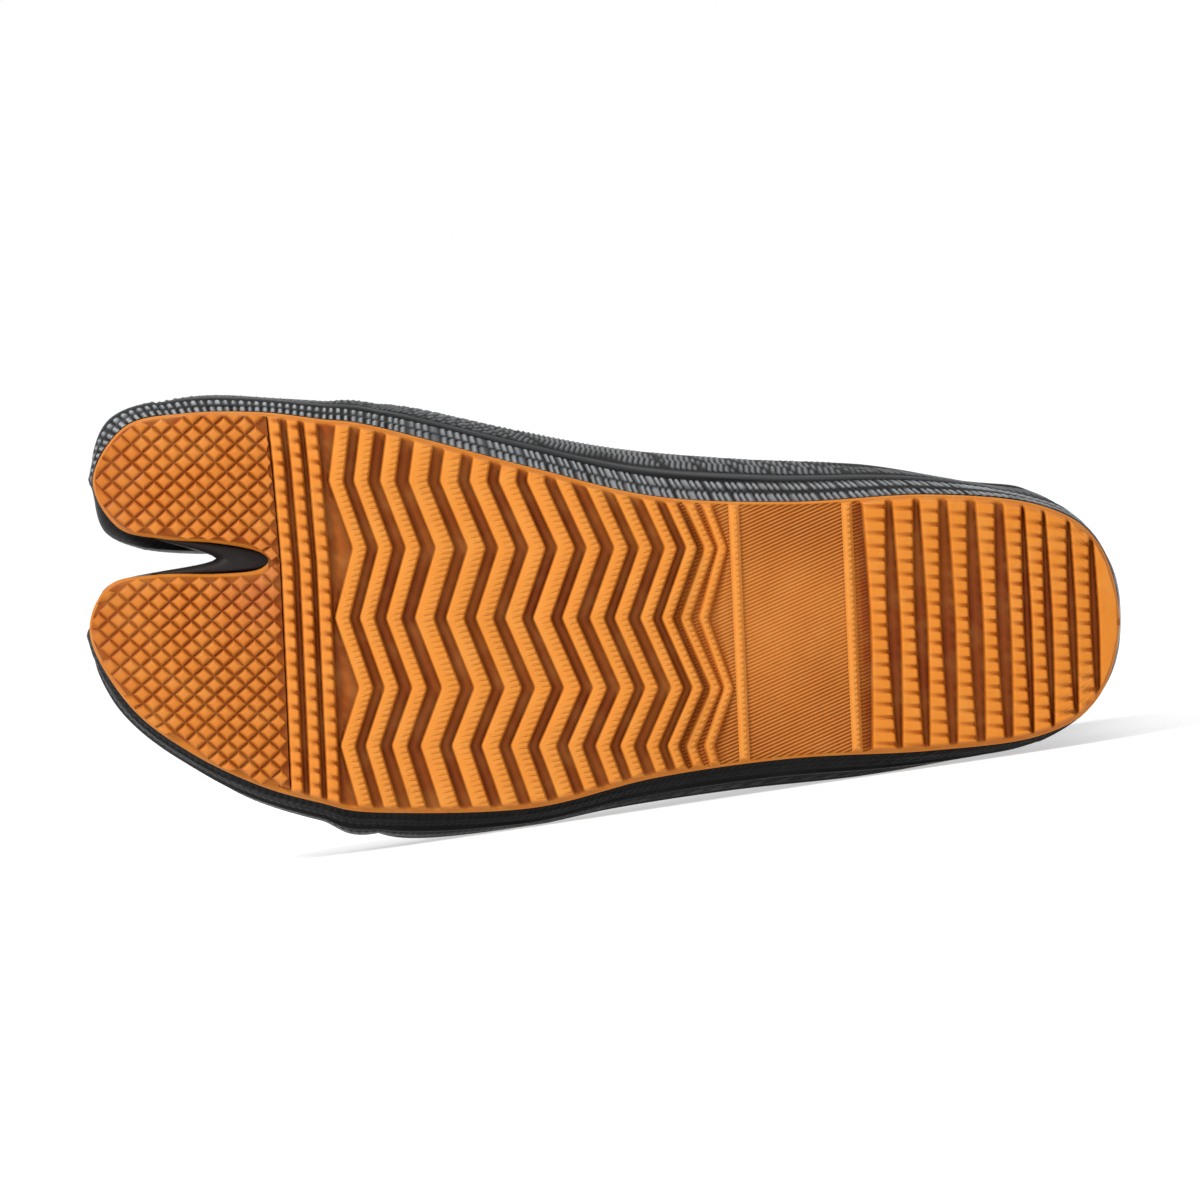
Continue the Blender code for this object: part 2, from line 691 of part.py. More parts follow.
def hooks(sections, shell, collection, finish):
    """The flat metal hook tabs in a column along the flap's rear edge, with round outer ends."""
    points, number, normals = shell
    row = FOXING_ROWS + FLAP_ROWS[0]
    places = np.linspace(*HOOK_LINES, HOOK_COUNT)
    for index, place in enumerate(places):
        low = int(place)
        share = place - low
        pair = [number[sections.count - 1 - low, row], number[sections.count - 2 - low, row]]
        rear = [number[sections.count - 1 - low, row - 1], number[sections.count - 2 - low, row - 1]]
        spot = points[pair[0]] * (1 - share) + points[pair[1]] * share
        behind = points[rear[0]] * (1 - share) + points[rear[1]] * share
        normal = Vector(normals[pair[0]] * (1 - share) + normals[pair[1]] * share).normalized()
        backward = Vector(behind - spot)
        backward = (backward - normal * backward.dot(normal)).normalized()
        side = normal.cross(backward)
        shape = bmesh.new()
        corners = [(HOOK_START, -HOOK_WIDTH / 2)]
        for turn in np.linspace(-90, 90, 9):
            bulge = (1 - HOOK_SHOULDER) * math.cos(math.radians(turn)) ** 0.6
            reach = HOOK_LENGTH * (HOOK_SHOULDER + bulge)
            corners.append((HOOK_START + reach, math.sin(math.radians(turn)) * HOOK_WIDTH / 2))
        corners.append((HOOK_START, HOOK_WIDTH / 2))
        outline_verts = [shape.verts.new((x, y, 0)) for x, y in corners]
        bottom = shape.faces.new(outline_verts)
        made = bmesh.ops.extrude_face_region(shape, geom=[bottom])["geom"]
        top = [v for v in made if isinstance(v, bmesh.types.BMVert)]
        bmesh.ops.translate(shape, verts=top, vec=(0, 0, HOOK_THICKNESS))
        bmesh.ops.recalc_face_normals(shape, faces=shape.faces)
        mesh = bpy.data.meshes.new("kohaze")
        shape.to_mesh(mesh)
        shape.free()
        obj = linked(f"kohaze_{index + 1}", mesh, collection, finish)
        base = Vector(spot) + normal * HOOK_LIFT
        turn = Matrix((backward, side, normal)).transposed().to_4x4()
        obj.matrix_world = Matrix.Translation(base) @ turn


def triangles(obj):
    """The object's triangles in world space, as an array of corner points."""
    mesh = baked(obj)
    mesh.transform(obj.matrix_world)
    mesh.calc_loop_triangles()
    points = np.array([vert.co[:] for vert in mesh.vertices])
    return points[[tuple(tri.vertices) for tri in mesh.loop_triangles]]


def balance_point(shoe):
    """Centre of mass of the shoe from its pieces' volumes and materials."""
    total, moment = 0.0, np.zeros(3)
    for obj in shoe.objects:
        corners = triangles(obj)
        volumes = np.einsum("ij,ij->i", corners[:, 0], np.cross(corners[:, 1], corners[:, 2])) / 6
        density = DENSITY[obj.material_slots[0].material.name]
        total += density * volumes.sum()
        moment += density * (volumes[:, None] * corners.sum(axis=1) / 4).sum(axis=0)
    return moment / total


def resting_turn(shoe):
    """Rotation that lays the shoe on the stable face of its hull nearest to its outer side."""
    shape = bmesh.new()
    for obj in shoe.objects:
        for point in triangles(obj).reshape(-1, 3):
            shape.verts.new(point)
    bmesh.ops.remove_doubles(shape, verts=shape.verts, dist=1e-6)
    hull = bmesh.ops.convex_hull(shape, input=shape.verts)["geom"]
    centre = Vector(balance_point(shoe))
    best = None
    for face in hull:
        if not isinstance(face, bmesh.types.BMFace) or len(face.verts) != 3:
            continue
        normal = face.normal.normalized()
        if normal.dot(face.verts[0].co - centre) < 0:
            normal = -normal
        foot = centre + normal * normal.dot(face.verts[0].co - centre)
        corners = [vert.co for vert in face.verts]
        sides = [
            normal.dot((corners[k] - corners[k - 1]).cross(foot - corners[k - 1])) for k in range(3)
        ]
        stable = all(side >= 0 for side in sides) or all(side <= 0 for side in sides)
        if stable and normal.y < -0.8 and (best is None or normal.y < best.y):
            best = normal.copy()
    shape.free()
    up = -best
    toward_top = (Vector((0, 0, 1)) - up * up.z).normalized()
    heelward = toward_top.cross(up)
    return Matrix((heelward, toward_top, up)).to_4x4()


def lay_down(shoe):
    """Parents the shoe to an empty that lays it on its outer side, centred over the origin."""
    turn = resting_turn(shoe)
    points = np.vstack([triangles(obj).reshape(-1, 3) for obj in shoe.objects])
    turned = points @ np.array(turn.to_3x3()).T
    low, high = turned.min(axis=0), turned.max(axis=0)
    shift = Vector((-(low[0] + high[0]) / 2, -(low[1] + high[1]) / 2, -low[2]))
    stand = bpy.data.objects.new("lying_shoe", None)
    stand.empty_display_size = SOLE_LENGTH / 4
    bpy.context.scene.collection.objects.link(stand)
    for obj in shoe.objects:
        obj.parent = stand
    stand.matrix_world = Matrix.Translation(shift) @ turn
    bpy.context.view_layer.update()


def main():
    """Builds every piece of the shoe and lays it down."""
    shoe, helpers = collections()
    amber = material("amber_rubber", (0.76, 0.31, 0.055), 0.45)
    black = material("black_rubber", (0.018, 0.018, 0.020), 0.5)
    cloth = material("black_canvas", (0.02, 0.02, 0.022), 0.9)
    tape = material("black_tape", (0.03, 0.03, 0.032), 0.8)
    lining = material("insole_cloth", (0.62, 0.60, 0.55), 0.9)
    brass = material("brass", (0.80, 0.58, 0.24), 0.3, metallic=1.0)
    sections = Sections(BODY_STEPS, TOE_STEPS)
    shell = welded(sections.walls(FOXING_ROWS, WALL_ROWS))
    everywhere = [((0, sections.count - 1), (0, FOXING_ROWS + WALL_ROWS))]
    layer("upper", shell, everywhere, -UPPER_WALL, 0.0, shoe, cloth)
    outsole(sections.outline_at, shoe, helpers, amber)
    insole(sections.outline_at, shoe, helpers, lining)
    foxing(sections, shell, shoe, black)
    back_stay(sections, shell, shoe, tape)
    flap(sections, shell, shoe, material("flap_canvas", (0.02, 0.02, 0.022), 0.9))
    hooks(sections, shell, shoe, brass)
    bpy.context.view_layer.update()
    lay_down(shoe)
    for obj in helpers.objects:
        obj.hide_render = True
        obj.display_type = "WIRE"


main()
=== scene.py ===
"""Looks for the jika tabi: a right work shoe lying on its outer side, sole towards the camera.

Every surface is worked out in the standing shoe's frame (x from heel to toe, y to the big toe's side, z up,
tread tops on z = 0) and then carried to the lying pose by one fixed matrix.
"""

from __future__ import annotations

import logging
import math
from dataclasses import dataclass, field, replace
from enum import Enum
from typing import Sequence

import bmesh
import bpy
import numpy as np
from mathutils import Matrix, Vector

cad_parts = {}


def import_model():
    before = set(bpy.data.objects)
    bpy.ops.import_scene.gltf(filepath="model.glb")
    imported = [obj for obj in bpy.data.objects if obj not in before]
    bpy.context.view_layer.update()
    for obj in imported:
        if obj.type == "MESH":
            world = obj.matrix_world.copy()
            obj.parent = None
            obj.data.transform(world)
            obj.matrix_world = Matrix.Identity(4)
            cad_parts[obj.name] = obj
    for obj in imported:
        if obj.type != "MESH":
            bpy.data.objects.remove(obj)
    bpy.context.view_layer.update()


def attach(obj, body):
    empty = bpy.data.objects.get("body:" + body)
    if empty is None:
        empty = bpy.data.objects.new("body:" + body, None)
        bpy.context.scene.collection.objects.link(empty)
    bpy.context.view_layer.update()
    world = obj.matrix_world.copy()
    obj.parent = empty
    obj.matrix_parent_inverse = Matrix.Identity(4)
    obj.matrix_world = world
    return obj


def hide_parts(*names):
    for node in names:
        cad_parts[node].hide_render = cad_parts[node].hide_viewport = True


LOG = logging.getLogger("jika_tabi")

Table = list[tuple[float, ...]]
Triple = tuple[float, float, float]
Branch = tuple[np.ndarray, np.ndarray]

# Rotation and shift from the standing shoe to the pose in which it lies, row by row.
LYING = np.array(
    [
        (-0.9889361, 0.1483420, 0.0000000, 0.1317034),
        (0.0029284, 0.0195226, 0.9998052, -0.0743322),
        (0.1483131, 0.9887434, -0.0197410, 0.0299836),
    ]
)

# Sole outline, once round from the back of the heel: along as a share of the sole's length, across as a share
# of the ball's width to the inner side, and how far the wall above swells outside the edge.
OUTER_BODY: Table = [
    (0.000, 0.000, 0.360), (0.021, -0.197, 0.165), (0.078, -0.295, 0.072), (0.185, -0.334, 0.078),
    (0.319, -0.354, 0.092), (0.450, -0.404, 0.083), (0.572, -0.483, 0.056), (0.720, -0.494, 0.053),
]
OUTER_TOES: Table = [
    (0.777, -0.468, 0.046), (0.837, -0.422, 0.043), (0.904, -0.336, 0.030), (0.961, -0.219, 0.028),
    (1.000, -0.040, 0.014),
]
NOTCH_OUTER_SIDE: Table = [
    (0.983, 0.092, 0.010), (0.936, 0.123, 0.019), (0.878, 0.125, 0.031), (0.839, 0.134, 0.018),
    (0.826, 0.160, 0.014),
]
NOTCH_INNER_SIDE: Table = [
    (0.839, 0.186, 0.040), (0.878, 0.205, 0.066), (0.930, 0.216, 0.063), (0.974, 0.248, 0.042),
    (0.9975, 0.372, 0.014),
]
BIG_TOE: Table = [
    (0.966, 0.508, 0.042), (0.908, 0.542, 0.048), (0.837, 0.545, 0.040), (0.777, 0.527, 0.046),
    (0.720, 0.506, 0.058),
]
INNER_BODY: Table = [
    (0.572, 0.402, 0.108), (0.450, 0.326, 0.140), (0.319, 0.312, 0.132), (0.185, 0.331, 0.096),
    (0.078, 0.303, 0.080), (0.021, 0.206, 0.185),
]
OUTLINE: Table = OUTER_BODY + OUTER_TOES + NOTCH_OUTER_SIDE + NOTCH_INNER_SIDE + BIG_TOE + INNER_BODY
# Spans of the outline's rows with the outer toes' tip, the notch's root and the big toe's tip: 1 seeks the
# greatest x within the span and -1 the least.
EXTREMES = ((11.0, 13.5, 1), (15.5, 19.0, -1), (20.0, 24.0, 1))

# The seam up the back, from the collar down: along, height share, and the half widths of the outer and the
# inner side as shares of the ball's width.
BACK_SEAM: Table = [
    (-0.004, 2.03, 0.345, 0.345), (0.011, 1.50, 0.330, 0.330), (0.024, 0.92, 0.328, 0.332),
    (0.014, 0.52, 0.338, 0.346), (0.003, 0.15, 0.348, 0.360),
]
# Crests of the upper: along, across, height share, and squareness of the section.
CREST: Table = [
    (0.364, 0.000, 2.00, 1.00), (0.370, 0.000, 1.45, 1.00), (0.387, 0.000, 1.04, 1.00),
    (0.412, 0.002, 0.93, 1.00), (0.433, 0.005, 0.865, 0.99), (0.452, 0.010, 0.815, 0.97),
    (0.466, 0.016, 0.780, 0.95), (0.485, 0.024, 0.740, 0.93), (0.517, 0.038, 0.680, 0.91),
    (0.558, 0.056, 0.610, 0.89), (0.606, 0.078, 0.540, 0.87), (0.662, 0.106, 0.468, 0.85),
    (0.720, 0.140, 0.400, 0.83),
]
OUTER_TOE_CREST: Table = [
    (0.777, 0.030, 0.368, 0.81), (0.822, -0.050, 0.340, 0.80), (0.860, -0.085, 0.316, 0.79),
    (0.888, -0.088, 0.300, 0.79), (0.908, -0.074, 0.294, 0.79),
]
BIG_TOE_CREST: Table = [
    (0.777, 0.251, 0.362, 0.81), (0.820, 0.320, 0.340, 0.80), (0.858, 0.360, 0.318, 0.79),
    (0.888, 0.378, 0.303, 0.79), (0.910, 0.384, 0.297, 0.79),
]

# Bars of the tread: along, width as a share of bar_width, and for zigzags the share of zigzag_depth.
ZIGZAG_BARS: Table = [
    (0.7437, 0.73, 0.75), (0.7193, 0.73, 0.78), (0.6929, 0.77, 0.82), (0.6627, 1.00, 0.86),
    (0.6325, 0.94, 0.90), (0.6036, 0.91, 0.93), (0.5749, 0.89, 0.97), (0.5471, 0.91, 1.00),
    (0.5205, 0.73, 1.00), (0.4938, 0.73, 1.00), (0.4702, 0.68, 1.00), (0.4458, 0.61, 1.00),
    (0.4259, 0.50, 1.00),
]
THIN_ZIGZAGS: Table = [(0.4086, 0.43, 1.00), (0.3932, 0.34, 0.80)]
TOE_BARS: Table = [(0.8049, 0.55), (0.7871, 0.55), (0.7700, 0.60)]
HEEL_BARS: Table = [
    (0.2341, 0.82), (0.2062, 0.72), (0.1805, 0.66), (0.1535, 0.66), (0.1265, 0.66), (0.1002, 0.62),
    (0.0799, 0.62), (0.0582, 0.78), (0.0356, 0.70), (0.0112, 1.00),
]
# Lines that bars follow: across as a share of the ball's width, and how far forward, in half zigzag depths or
# in bar widths.
ZIGZAG_TURNS: Table = [
    (0.540, -0.05), (0.365, 1.00), (0.192, -1.00), (0.010, 1.00), (-0.171, -1.00), (-0.321, 1.00),
    (-0.540, -1.00),
]
TOE_BAR_LINE: Table = [(0.580, 0.50), (0.400, 0.24), (0.150, 0.00), (-0.520, 0.00)]
# A bar's rounded profile: distance out from its half width, and share of its height.
BAR_PROFILE: Table = [
    (0.00080, 0.0), (0.00062, 0.06), (0.00040, 0.34), (0.00016, 0.74), (-0.00002, 0.93), (-0.00022, 0.985),
    (-0.0005, 1.0),
]
HATCHED = -2.0  # height and relief that mark the waist's hatched floor
HOOKS = 5


class Zone(Enum):
    """Fields of the tread, each with its colours: groove floor, then bar top, as sRGB bytes. The floors'
    darker colour is partly the amber's own deeper tone and partly painted shade in the grooves.
    """

    ZIGZAG = ((156, 72, 12), (228, 141, 54))
    THIN = ((190, 98, 26), (228, 142, 56))
    TOE = ((150, 64, 8), (228, 138, 52))
    WAIST = ((230, 142, 60), (230, 146, 62))
    HEEL = ((156, 68, 12), (224, 134, 44))
    STUDS = ((136, 56, 0), (206, 120, 44))
    PLATE = ((150, 70, 10), (204, 120, 38))


def linear(colour: Sequence[float]) -> np.ndarray:
    """Linear colour from sRGB bytes.

    Args:
        colour: Red, green and blue from 0 to 255.

    Returns:
        The three linear values.
    """
    share = np.asarray(colour, float) / 255.0
    return np.where(share <= 0.04045, share / 12.92, ((share + 0.055) / 1.055) ** 2.4)


def smooth(value: np.ndarray, low: float, high: float) -> np.ndarray:
    """Smoothstep: 3t^2 - 2t^3 of the share t of the way from low to high.

    Args:
        value: Numbers to map.
        low: Where the result is 0.
        high: Where the result is 1.

    Returns:
        Numbers from 0 to 1.
    """
    share = np.clip((value - low) / (high - low), 0, 1)
    return share * share * (3 - 2 * share)


def curve(rows: np.ndarray, at: np.ndarray) -> np.ndarray:
    """Catmull-Rom curve through rows: cubic Hermite with slopes from neighbouring rows.

    Args:
        rows: One row of numbers for each knot.
        at: Places counted in rows.

    Returns:
        One row for each place.
    """
    rows = np.asarray(rows, float)
    at = np.asarray(at, float)
    low = np.clip(np.floor(at).astype(int), 0, len(rows) - 2)
    t = (at - low)[:, None]
    slope = np.gradient(rows, axis=0)
    p, q, m, n = rows[low], rows[low + 1], slope[low], slope[low + 1]
    return (
        (2 * t**3 - 3 * t**2 + 1) * p
        + (t**3 - 2 * t**2 + t) * m
        + (3 * t**2 - 2 * t**3) * q
        + (t**3 - t**2) * n
    )


def signed_power(value: np.ndarray, power: float | np.ndarray) -> np.ndarray:
    """A power of each number's size, with its sign kept."""
    return np.sign(value) * np.abs(value) ** power


def walked(path: np.ndarray) -> np.ndarray:
    """Distance along a path to each of its points."""
    return np.concatenate([[0], np.cumsum(np.linalg.norm(np.diff(path, axis=0), axis=1))])


def to_world(points: np.ndarray) -> np.ndarray:
    """Points of the standing shoe carried to the lying pose: rotation times point plus shift."""
    return points @ LYING[:, :3].T + LYING[:, 3]


@dataclass
class Last:
    """The shoe's form: its sizes in metres, the sole's outline and spring, and the crests of the upper.

    toe_from and heel_until are the shares of the length where the toe's rise starts and the heel's roll ends.
    """

    sole_length: float = 0.2665
    ball_width: float = 0.0996
    ankle_height: float = 0.088
    collar_height: float = 0.147
    toe_spring: float = 0.008
    heel_spring: float = 0.003
    toe_from: float = 0.70
    heel_until: float = 0.13
    gap: float = 0.0003
    lug_height: float = 0.0026
    plate_thickness: float = 0.0030
    edge_inset: float = 0.0016
    heel_share: float = 0.20
    heel_squareness: float = 0.78
    foxing_height: float = 0.0125

    @property
    def sole_top(self) -> float:
        """Height of the sole's upper face."""
        return self.lug_height + self.plate_thickness

    @property
    def foot_base(self) -> float:
        """Height of the upper's lower edge."""
        return self.sole_top + self.gap

    def outline(self, at: np.ndarray) -> np.ndarray:
        """Points of the sole's edge: the outline table's closed curve.

        Args:
            at: Places counted in table rows round the loop.

        Returns:
            One (x, y) for each place.
        """
        rows = np.array(OUTLINE)[:, :2] * (self.sole_length, self.ball_width)
        loop = np.vstack([rows[-2:], rows, rows[:3]])
        return curve(loop, np.mod(at, len(rows)) + 2)

    def inset(self, at: np.ndarray, distance: float) -> np.ndarray:
        """Points of the sole's edge moved inwards along its normal.

        Args:
            at: Places counted in table rows.
            distance: How far inwards.

        Returns:
            One (x, y) for each place.
        """
        step = 0.02
        along = self.outline(at + step) - self.outline(at - step)
        along /= np.linalg.norm(along, axis=1)[:, None]
        return self.outline(at) + np.stack([-along[:, 1], along[:, 0]], axis=1) * distance

    def rise(self, x: np.ndarray) -> np.ndarray:
        """Lift of the sole at x: squares of the shares into the toe spring and the heel's roll.

        Args:
            x: Places along the sole.

        Returns:
            Heights to add there.
        """
        share = x / self.sole_length
        toe = np.clip((share - self.toe_from) / (1 - self.toe_from), 0, 1)
        heel = np.clip(1 - share / self.heel_until, 0, 1)
        return self.toe_spring * toe**2 + self.heel_spring * heel**2

    def height(self, share: np.ndarray) -> np.ndarray:
        """Height for a share, rising evenly between the three levels.

        Args:
            share: 0 for the sole's upper face, 1 for the ankle and 2 for the collar.

        Returns:
            One height for each share.
        """
        low = self.foot_base + np.clip(share, 0, 1) * (self.ankle_height - self.foot_base)
        return low + np.clip(share - 1, 0, None) * (self.collar_height - self.ankle_height)

    def crest_points(self, table: Table, at: np.ndarray) -> np.ndarray:
        """Crest points and squareness.

        Args:
            table: A crest table.
            at: Places counted in rows.

        Returns:
            Rows of x, y, z and squareness.
        """
        along, across, share, square = np.array(table).T
        columns = (along * self.sole_length, across * self.ball_width, self.height(share), square)
        return curve(np.stack(columns, axis=1), at)

    def branches(self, margin: float) -> list[Branch]:
        """The inset outline as four curves y(x): outer side, notch's outer side, its inner side, inner side.

        Args:
            margin: How far the outline is drawn in.

        Returns:
            Four pairs of rising x and the y at them.
        """
        at = np.linspace(0, len(OUTLINE), 200 * len(OUTLINE) + 1)[:-1]
        edge = self.inset(at, margin)
        heel = int(np.argmin(edge[:, 0]))
        ends = []
        for low, high, sign in EXTREMES:
            near = np.flatnonzero((at > low) & (at < high))
            tip = int(near[np.argmax(sign * edge[near, 0])])
            ends.append((tip - heel) % len(at))
        first, root, second = ends
        loop = np.roll(edge, -heel, axis=0)
        spans = (slice(0, first + 1), slice(first, root + 1), slice(root, second + 1), slice(second, None))
        pieces = [loop[span][::step] for span, step in zip(spans, (1, -1, 1, -1))]
        return [(np.maximum.accumulate(piece[:, 0]), piece[:, 1]) for piece in pieces]


class Sections:
    """Half sections of the upper: lines from its lower edge to its crest, once round the shoe."""

    def __init__(self, last: Last, body_steps: int, toe_steps: int) -> None:
        """Works out edge, crest, direction and half width of every line.

        Args:
            last: The shoe's form.
            body_steps: Lines for each table row of the body and the back seam.
            toe_steps: Lines for each table row of the toes.
        """
        self.last = last
        self.body_steps = body_steps
        seam, body, toes = len(BACK_SEAM), len(OUTER_BODY) - 1, len(OUTER_TOES)
        down = np.arange(seam * body_steps) / body_steps
        side = np.arange(body * body_steps) / body_steps
        toe = np.arange(toes * toe_steps) / toe_steps
        self.first_sole_line = len(down)
        pieces = [side, body + toe, body + toes + toe, body + 2 * toes + toe, body + 3 * toes + toe]
        at = np.concatenate(pieces + [body + 4 * toes + side, [2 * body + 4 * toes]])
        crest = self._crest(np.concatenate([down, seam + side]), np.append(toe, toes))
        self.crest, self.square = crest[:, :3], crest[:, 3]
        self.edge = self._edge(down, at)
        share = (self.edge[:, 2] - last.foot_base) / (last.ankle_height - last.foot_base)
        heel = np.clip(1 - share - self.edge[:, 0] / (last.heel_share * last.sole_length), 0, 1)
        self.low_square = self.square + (last.heel_squareness - self.square) * heel
        across = self.edge - self.crest
        across[:, 2] = 0
        lines = (seam + body) * body_steps
        across[: lines + 1] = (0, -1, 0)
        across[lines + 4 * len(toe) :] = (0, 1, 0)
        self.across = across / np.linalg.norm(across, axis=1)[:, None]
        self.reach = -((self.crest - self.edge) * self.across).sum(axis=1)
        self.half = self._half(down, at)
        self.count = len(self.edge)
        self.at = np.full(self.count, -1.0)
        self.at[self.first_sole_line :][: len(at)] = at

    def _crest(self, body_at: np.ndarray, toe_at: np.ndarray) -> np.ndarray:
        """Crest and squareness of every line, both sides sharing their crest.

        Args:
            body_at: Places on the body's crest table.
            toe_at: Places on the toes' crest tables.

        Returns:
            Rows of x, y, z and squareness.
        """
        body = self.last.crest_points(CREST, body_at)
        fork = self.last.crest_points(CREST, np.array([len(CREST) - 1.0]))
        small = self.last.crest_points([CREST[-1]] + OUTER_TOE_CREST, toe_at)
        big = self.last.crest_points([CREST[-1]] + BIG_TOE_CREST, toe_at)
        return np.vstack([body, small[:-1], small[:0:-1], big[:-1], big[:0:-1], fork, body[::-1]])

    def _edge(self, down: np.ndarray, at: np.ndarray) -> np.ndarray:
        """Lower ends of the lines: the back seam, the drawn-in outline and the back seam again.

        Args:
            down: Places on the back seam.
            at: Places on the outline.

        Returns:
            One point for each line.
        """
        last = self.last
        flat = last.inset(at, last.edge_inset)
        sole = np.column_stack([flat, last.foot_base + last.rise(flat[:, 0])])
        seam = np.array(BACK_SEAM)
        rows = np.column_stack([seam[:, 0] * last.sole_length, 0 * seam[:, 0], last.height(seam[:, 1])])
        rows[-1, 2] = last.foot_base + last.foxing_height + last.rise(rows[-1, 0])
        points = curve(np.vstack([rows, sole[:1]]), down)
        return np.vstack([points, sole, points[::-1]])

    def _half(self, down: np.ndarray, at: np.ndarray) -> np.ndarray:
        """Half width of every line: reach to the edge plus the table's swell, smoothly between rows.

        Args:
            down: Places on the back seam.
            at: Places on the outline.

        Returns:
            One width for each line.
        """
        swell = np.array(OUTLINE + OUTLINE[:1])[:, 2] * self.last.ball_width
        lines = np.flatnonzero(np.isclose(at, np.round(at), atol=1e-6)) + len(down)
        seam = np.array(BACK_SEAM)[:, 2:] * self.last.ball_width
        chain = np.concatenate([seam[:, 0], self.reach[lines] + swell, seam[::-1, 1]])
        end = len(chain) - 1
        places = np.concatenate([down, len(BACK_SEAM) + at, end - down[::-1]])
        return np.maximum(curve(chain[:, None], places)[:, 0], self.reach * 1.001)

    def walls(self, low_rows: int, high_rows: int) -> np.ndarray:
        """Grid of the outer face: each line is a superellipse quarter turn from its edge to its crest.

        Args:
            low_rows: Rows within the foxing's height.
            high_rows: Rows from there to the crest.

        Returns:
            Lines by rows by three.
        """
        last = self.last
        up = self.crest - self.edge + self.reach[:, None] * self.across
        share = np.clip(self.reach / self.half, -1, 1)
        start = -np.arccos(signed_power(share, 1 / self.low_square))
        low_square, square = self.low_square[:, None], self.square[:, None]

        def along(angle: np.ndarray) -> np.ndarray:
            """Points at angles: crest + half * cos^p across - (1 - climbed share) up.

            Args:
                angle: Angle of each point, 0 at the widest place and a quarter turn at the crest.

            Returns:
                One point for each angle.
            """
            power = np.where(angle < 0, low_square, square)
            foot = np.sin(-start)[:, None] ** low_square
            out = self.half[:, None] * signed_power(np.cos(angle), power)
            climbed = (foot + signed_power(np.sin(angle), power)) / (1 + foot)
            level = self.crest[:, None] + out[..., None] * self.across[:, None]
            return level - (1 - climbed)[..., None] * up[:, None]

        fine = start[:, None] + (math.pi / 2 - start)[:, None] * np.linspace(0, 1, 200)
        points = along(fine)
        above = points[..., 2] - last.foot_base - last.rise(points[..., 0])
        top = np.array([np.interp(last.foxing_height, h, a) for h, a in zip(above, fine)])
        top = np.where(above[:, 0] > last.foxing_height - 1e-6, start, top)
        low = start[:, None] + (top - start)[:, None] * np.linspace(0, 1, low_rows + 1)
        high = top[:, None] + (math.pi / 2 - top)[:, None] * np.linspace(0, 1, high_rows + 1)[1:]
        grid = along(np.hstack([low, high]))
        grid[:, -1] = self.crest
        grid[:, 0] = self.edge
        seam = top == start
        grid[seam, 1 : low_rows + 1] = self.edge[seam, None]
        return grid


@dataclass
class Skin:
    """A grid of points with its normals, measured distances and welded point numbers."""

    grid: np.ndarray
    normals: np.ndarray = field(init=False)
    number: np.ndarray = field(init=False)
    distance: np.ndarray = field(init=False)

    def __post_init__(self) -> None:
        """Welds equal points, averages face normals and sums distances both ways."""
        flat = np.round(self.grid.reshape(-1, 3), 7)
        points, number = np.unique(flat, axis=0, return_inverse=True)
        self.number = number.reshape(self.grid.shape[:2])
        corners, _ = quad_triangles(self.number)
        one, two, three = (points[corners[:, k]] for k in range(3))
        normal = np.cross(two - one, three - one)
        total = np.zeros_like(points)
        for k in range(3):
            np.add.at(total, corners[:, k], normal)
        length = np.linalg.norm(total, axis=1)[:, None]
        self.normals = (total / np.where(length > 0, length, 1))[self.number]
        along = np.linalg.norm(np.diff(self.grid, axis=0), axis=2).mean(axis=1)
        up = np.linalg.norm(np.diff(self.grid, axis=1), axis=2)
        first = np.concatenate([[0], np.cumsum(along)])
        second = np.concatenate([np.zeros((len(self.grid), 1)), np.cumsum(up, axis=1)], axis=1)
        self.distance = np.stack([np.broadcast_to(first[:, None], second.shape), second], axis=2)


def quad_triangles(number: np.ndarray) -> tuple[np.ndarray, np.ndarray]:
    """Two triangles for each grid cell, without those that have shrunk to a line.

    Args:
        number: Point number at each grid place.

    Returns:
        Point numbers of each triangle, and the flat grid places they came from.
    """
    place = np.arange(number.size).reshape(number.shape)
    a, b, c, d = place[:-1, :-1], place[1:, :-1], place[1:, 1:], place[:-1, 1:]
    corners = np.concatenate(
        [np.stack([a, b, c], axis=2).reshape(-1, 3), np.stack([a, c, d], axis=2).reshape(-1, 3)]
    )
    points = number.reshape(-1)[corners]
    whole = (points[:, 0] != points[:, 1]) & (points[:, 1] != points[:, 2]) & (points[:, 0] != points[:, 2])
    return points[whole], corners[whole]


def grid_quads(rows: int, columns: int) -> np.ndarray:
    """Faces of a grid of points that are numbered row by row.

    Args:
        rows: How many rows it has.
        columns: How many points a row has.

    Returns:
        Four point numbers for each face.
    """
    number = np.arange(rows * columns).reshape(rows, columns)
    a, b, c, d = number[:-1, :-1], number[1:, :-1], number[1:, 1:], number[:-1, 1:]
    return np.stack([a, d, c, b], axis=2).reshape(-1, 4)


def ring_quads(number: np.ndarray) -> np.ndarray:
    """Faces between closed rings of points that follow one another.

    Args:
        number: Point numbers, one row for each ring.

    Returns:
        Four point numbers for each face.
    """
    turned = np.roll(number, -1, axis=1)
    return np.stack([number[:-1], turned[:-1], turned[1:], number[1:]], axis=2).reshape(-1, 4)


def facing_down(points: np.ndarray, faces: np.ndarray) -> np.ndarray:
    """Faces turned round where need be, so that most look down from the standing shoe.

    Args:
        points: Points of the mesh.
        faces: Point numbers of each face.

    Returns:
        The faces, all turned or none.
    """
    one, two, end = points[faces[:, 0]], points[faces[:, 1]], points[faces[:, -1]]
    upwards = np.median(np.cross(two - one, end - one)[:, 2]) > 0
    return faces[:, ::-1] if upwards else faces


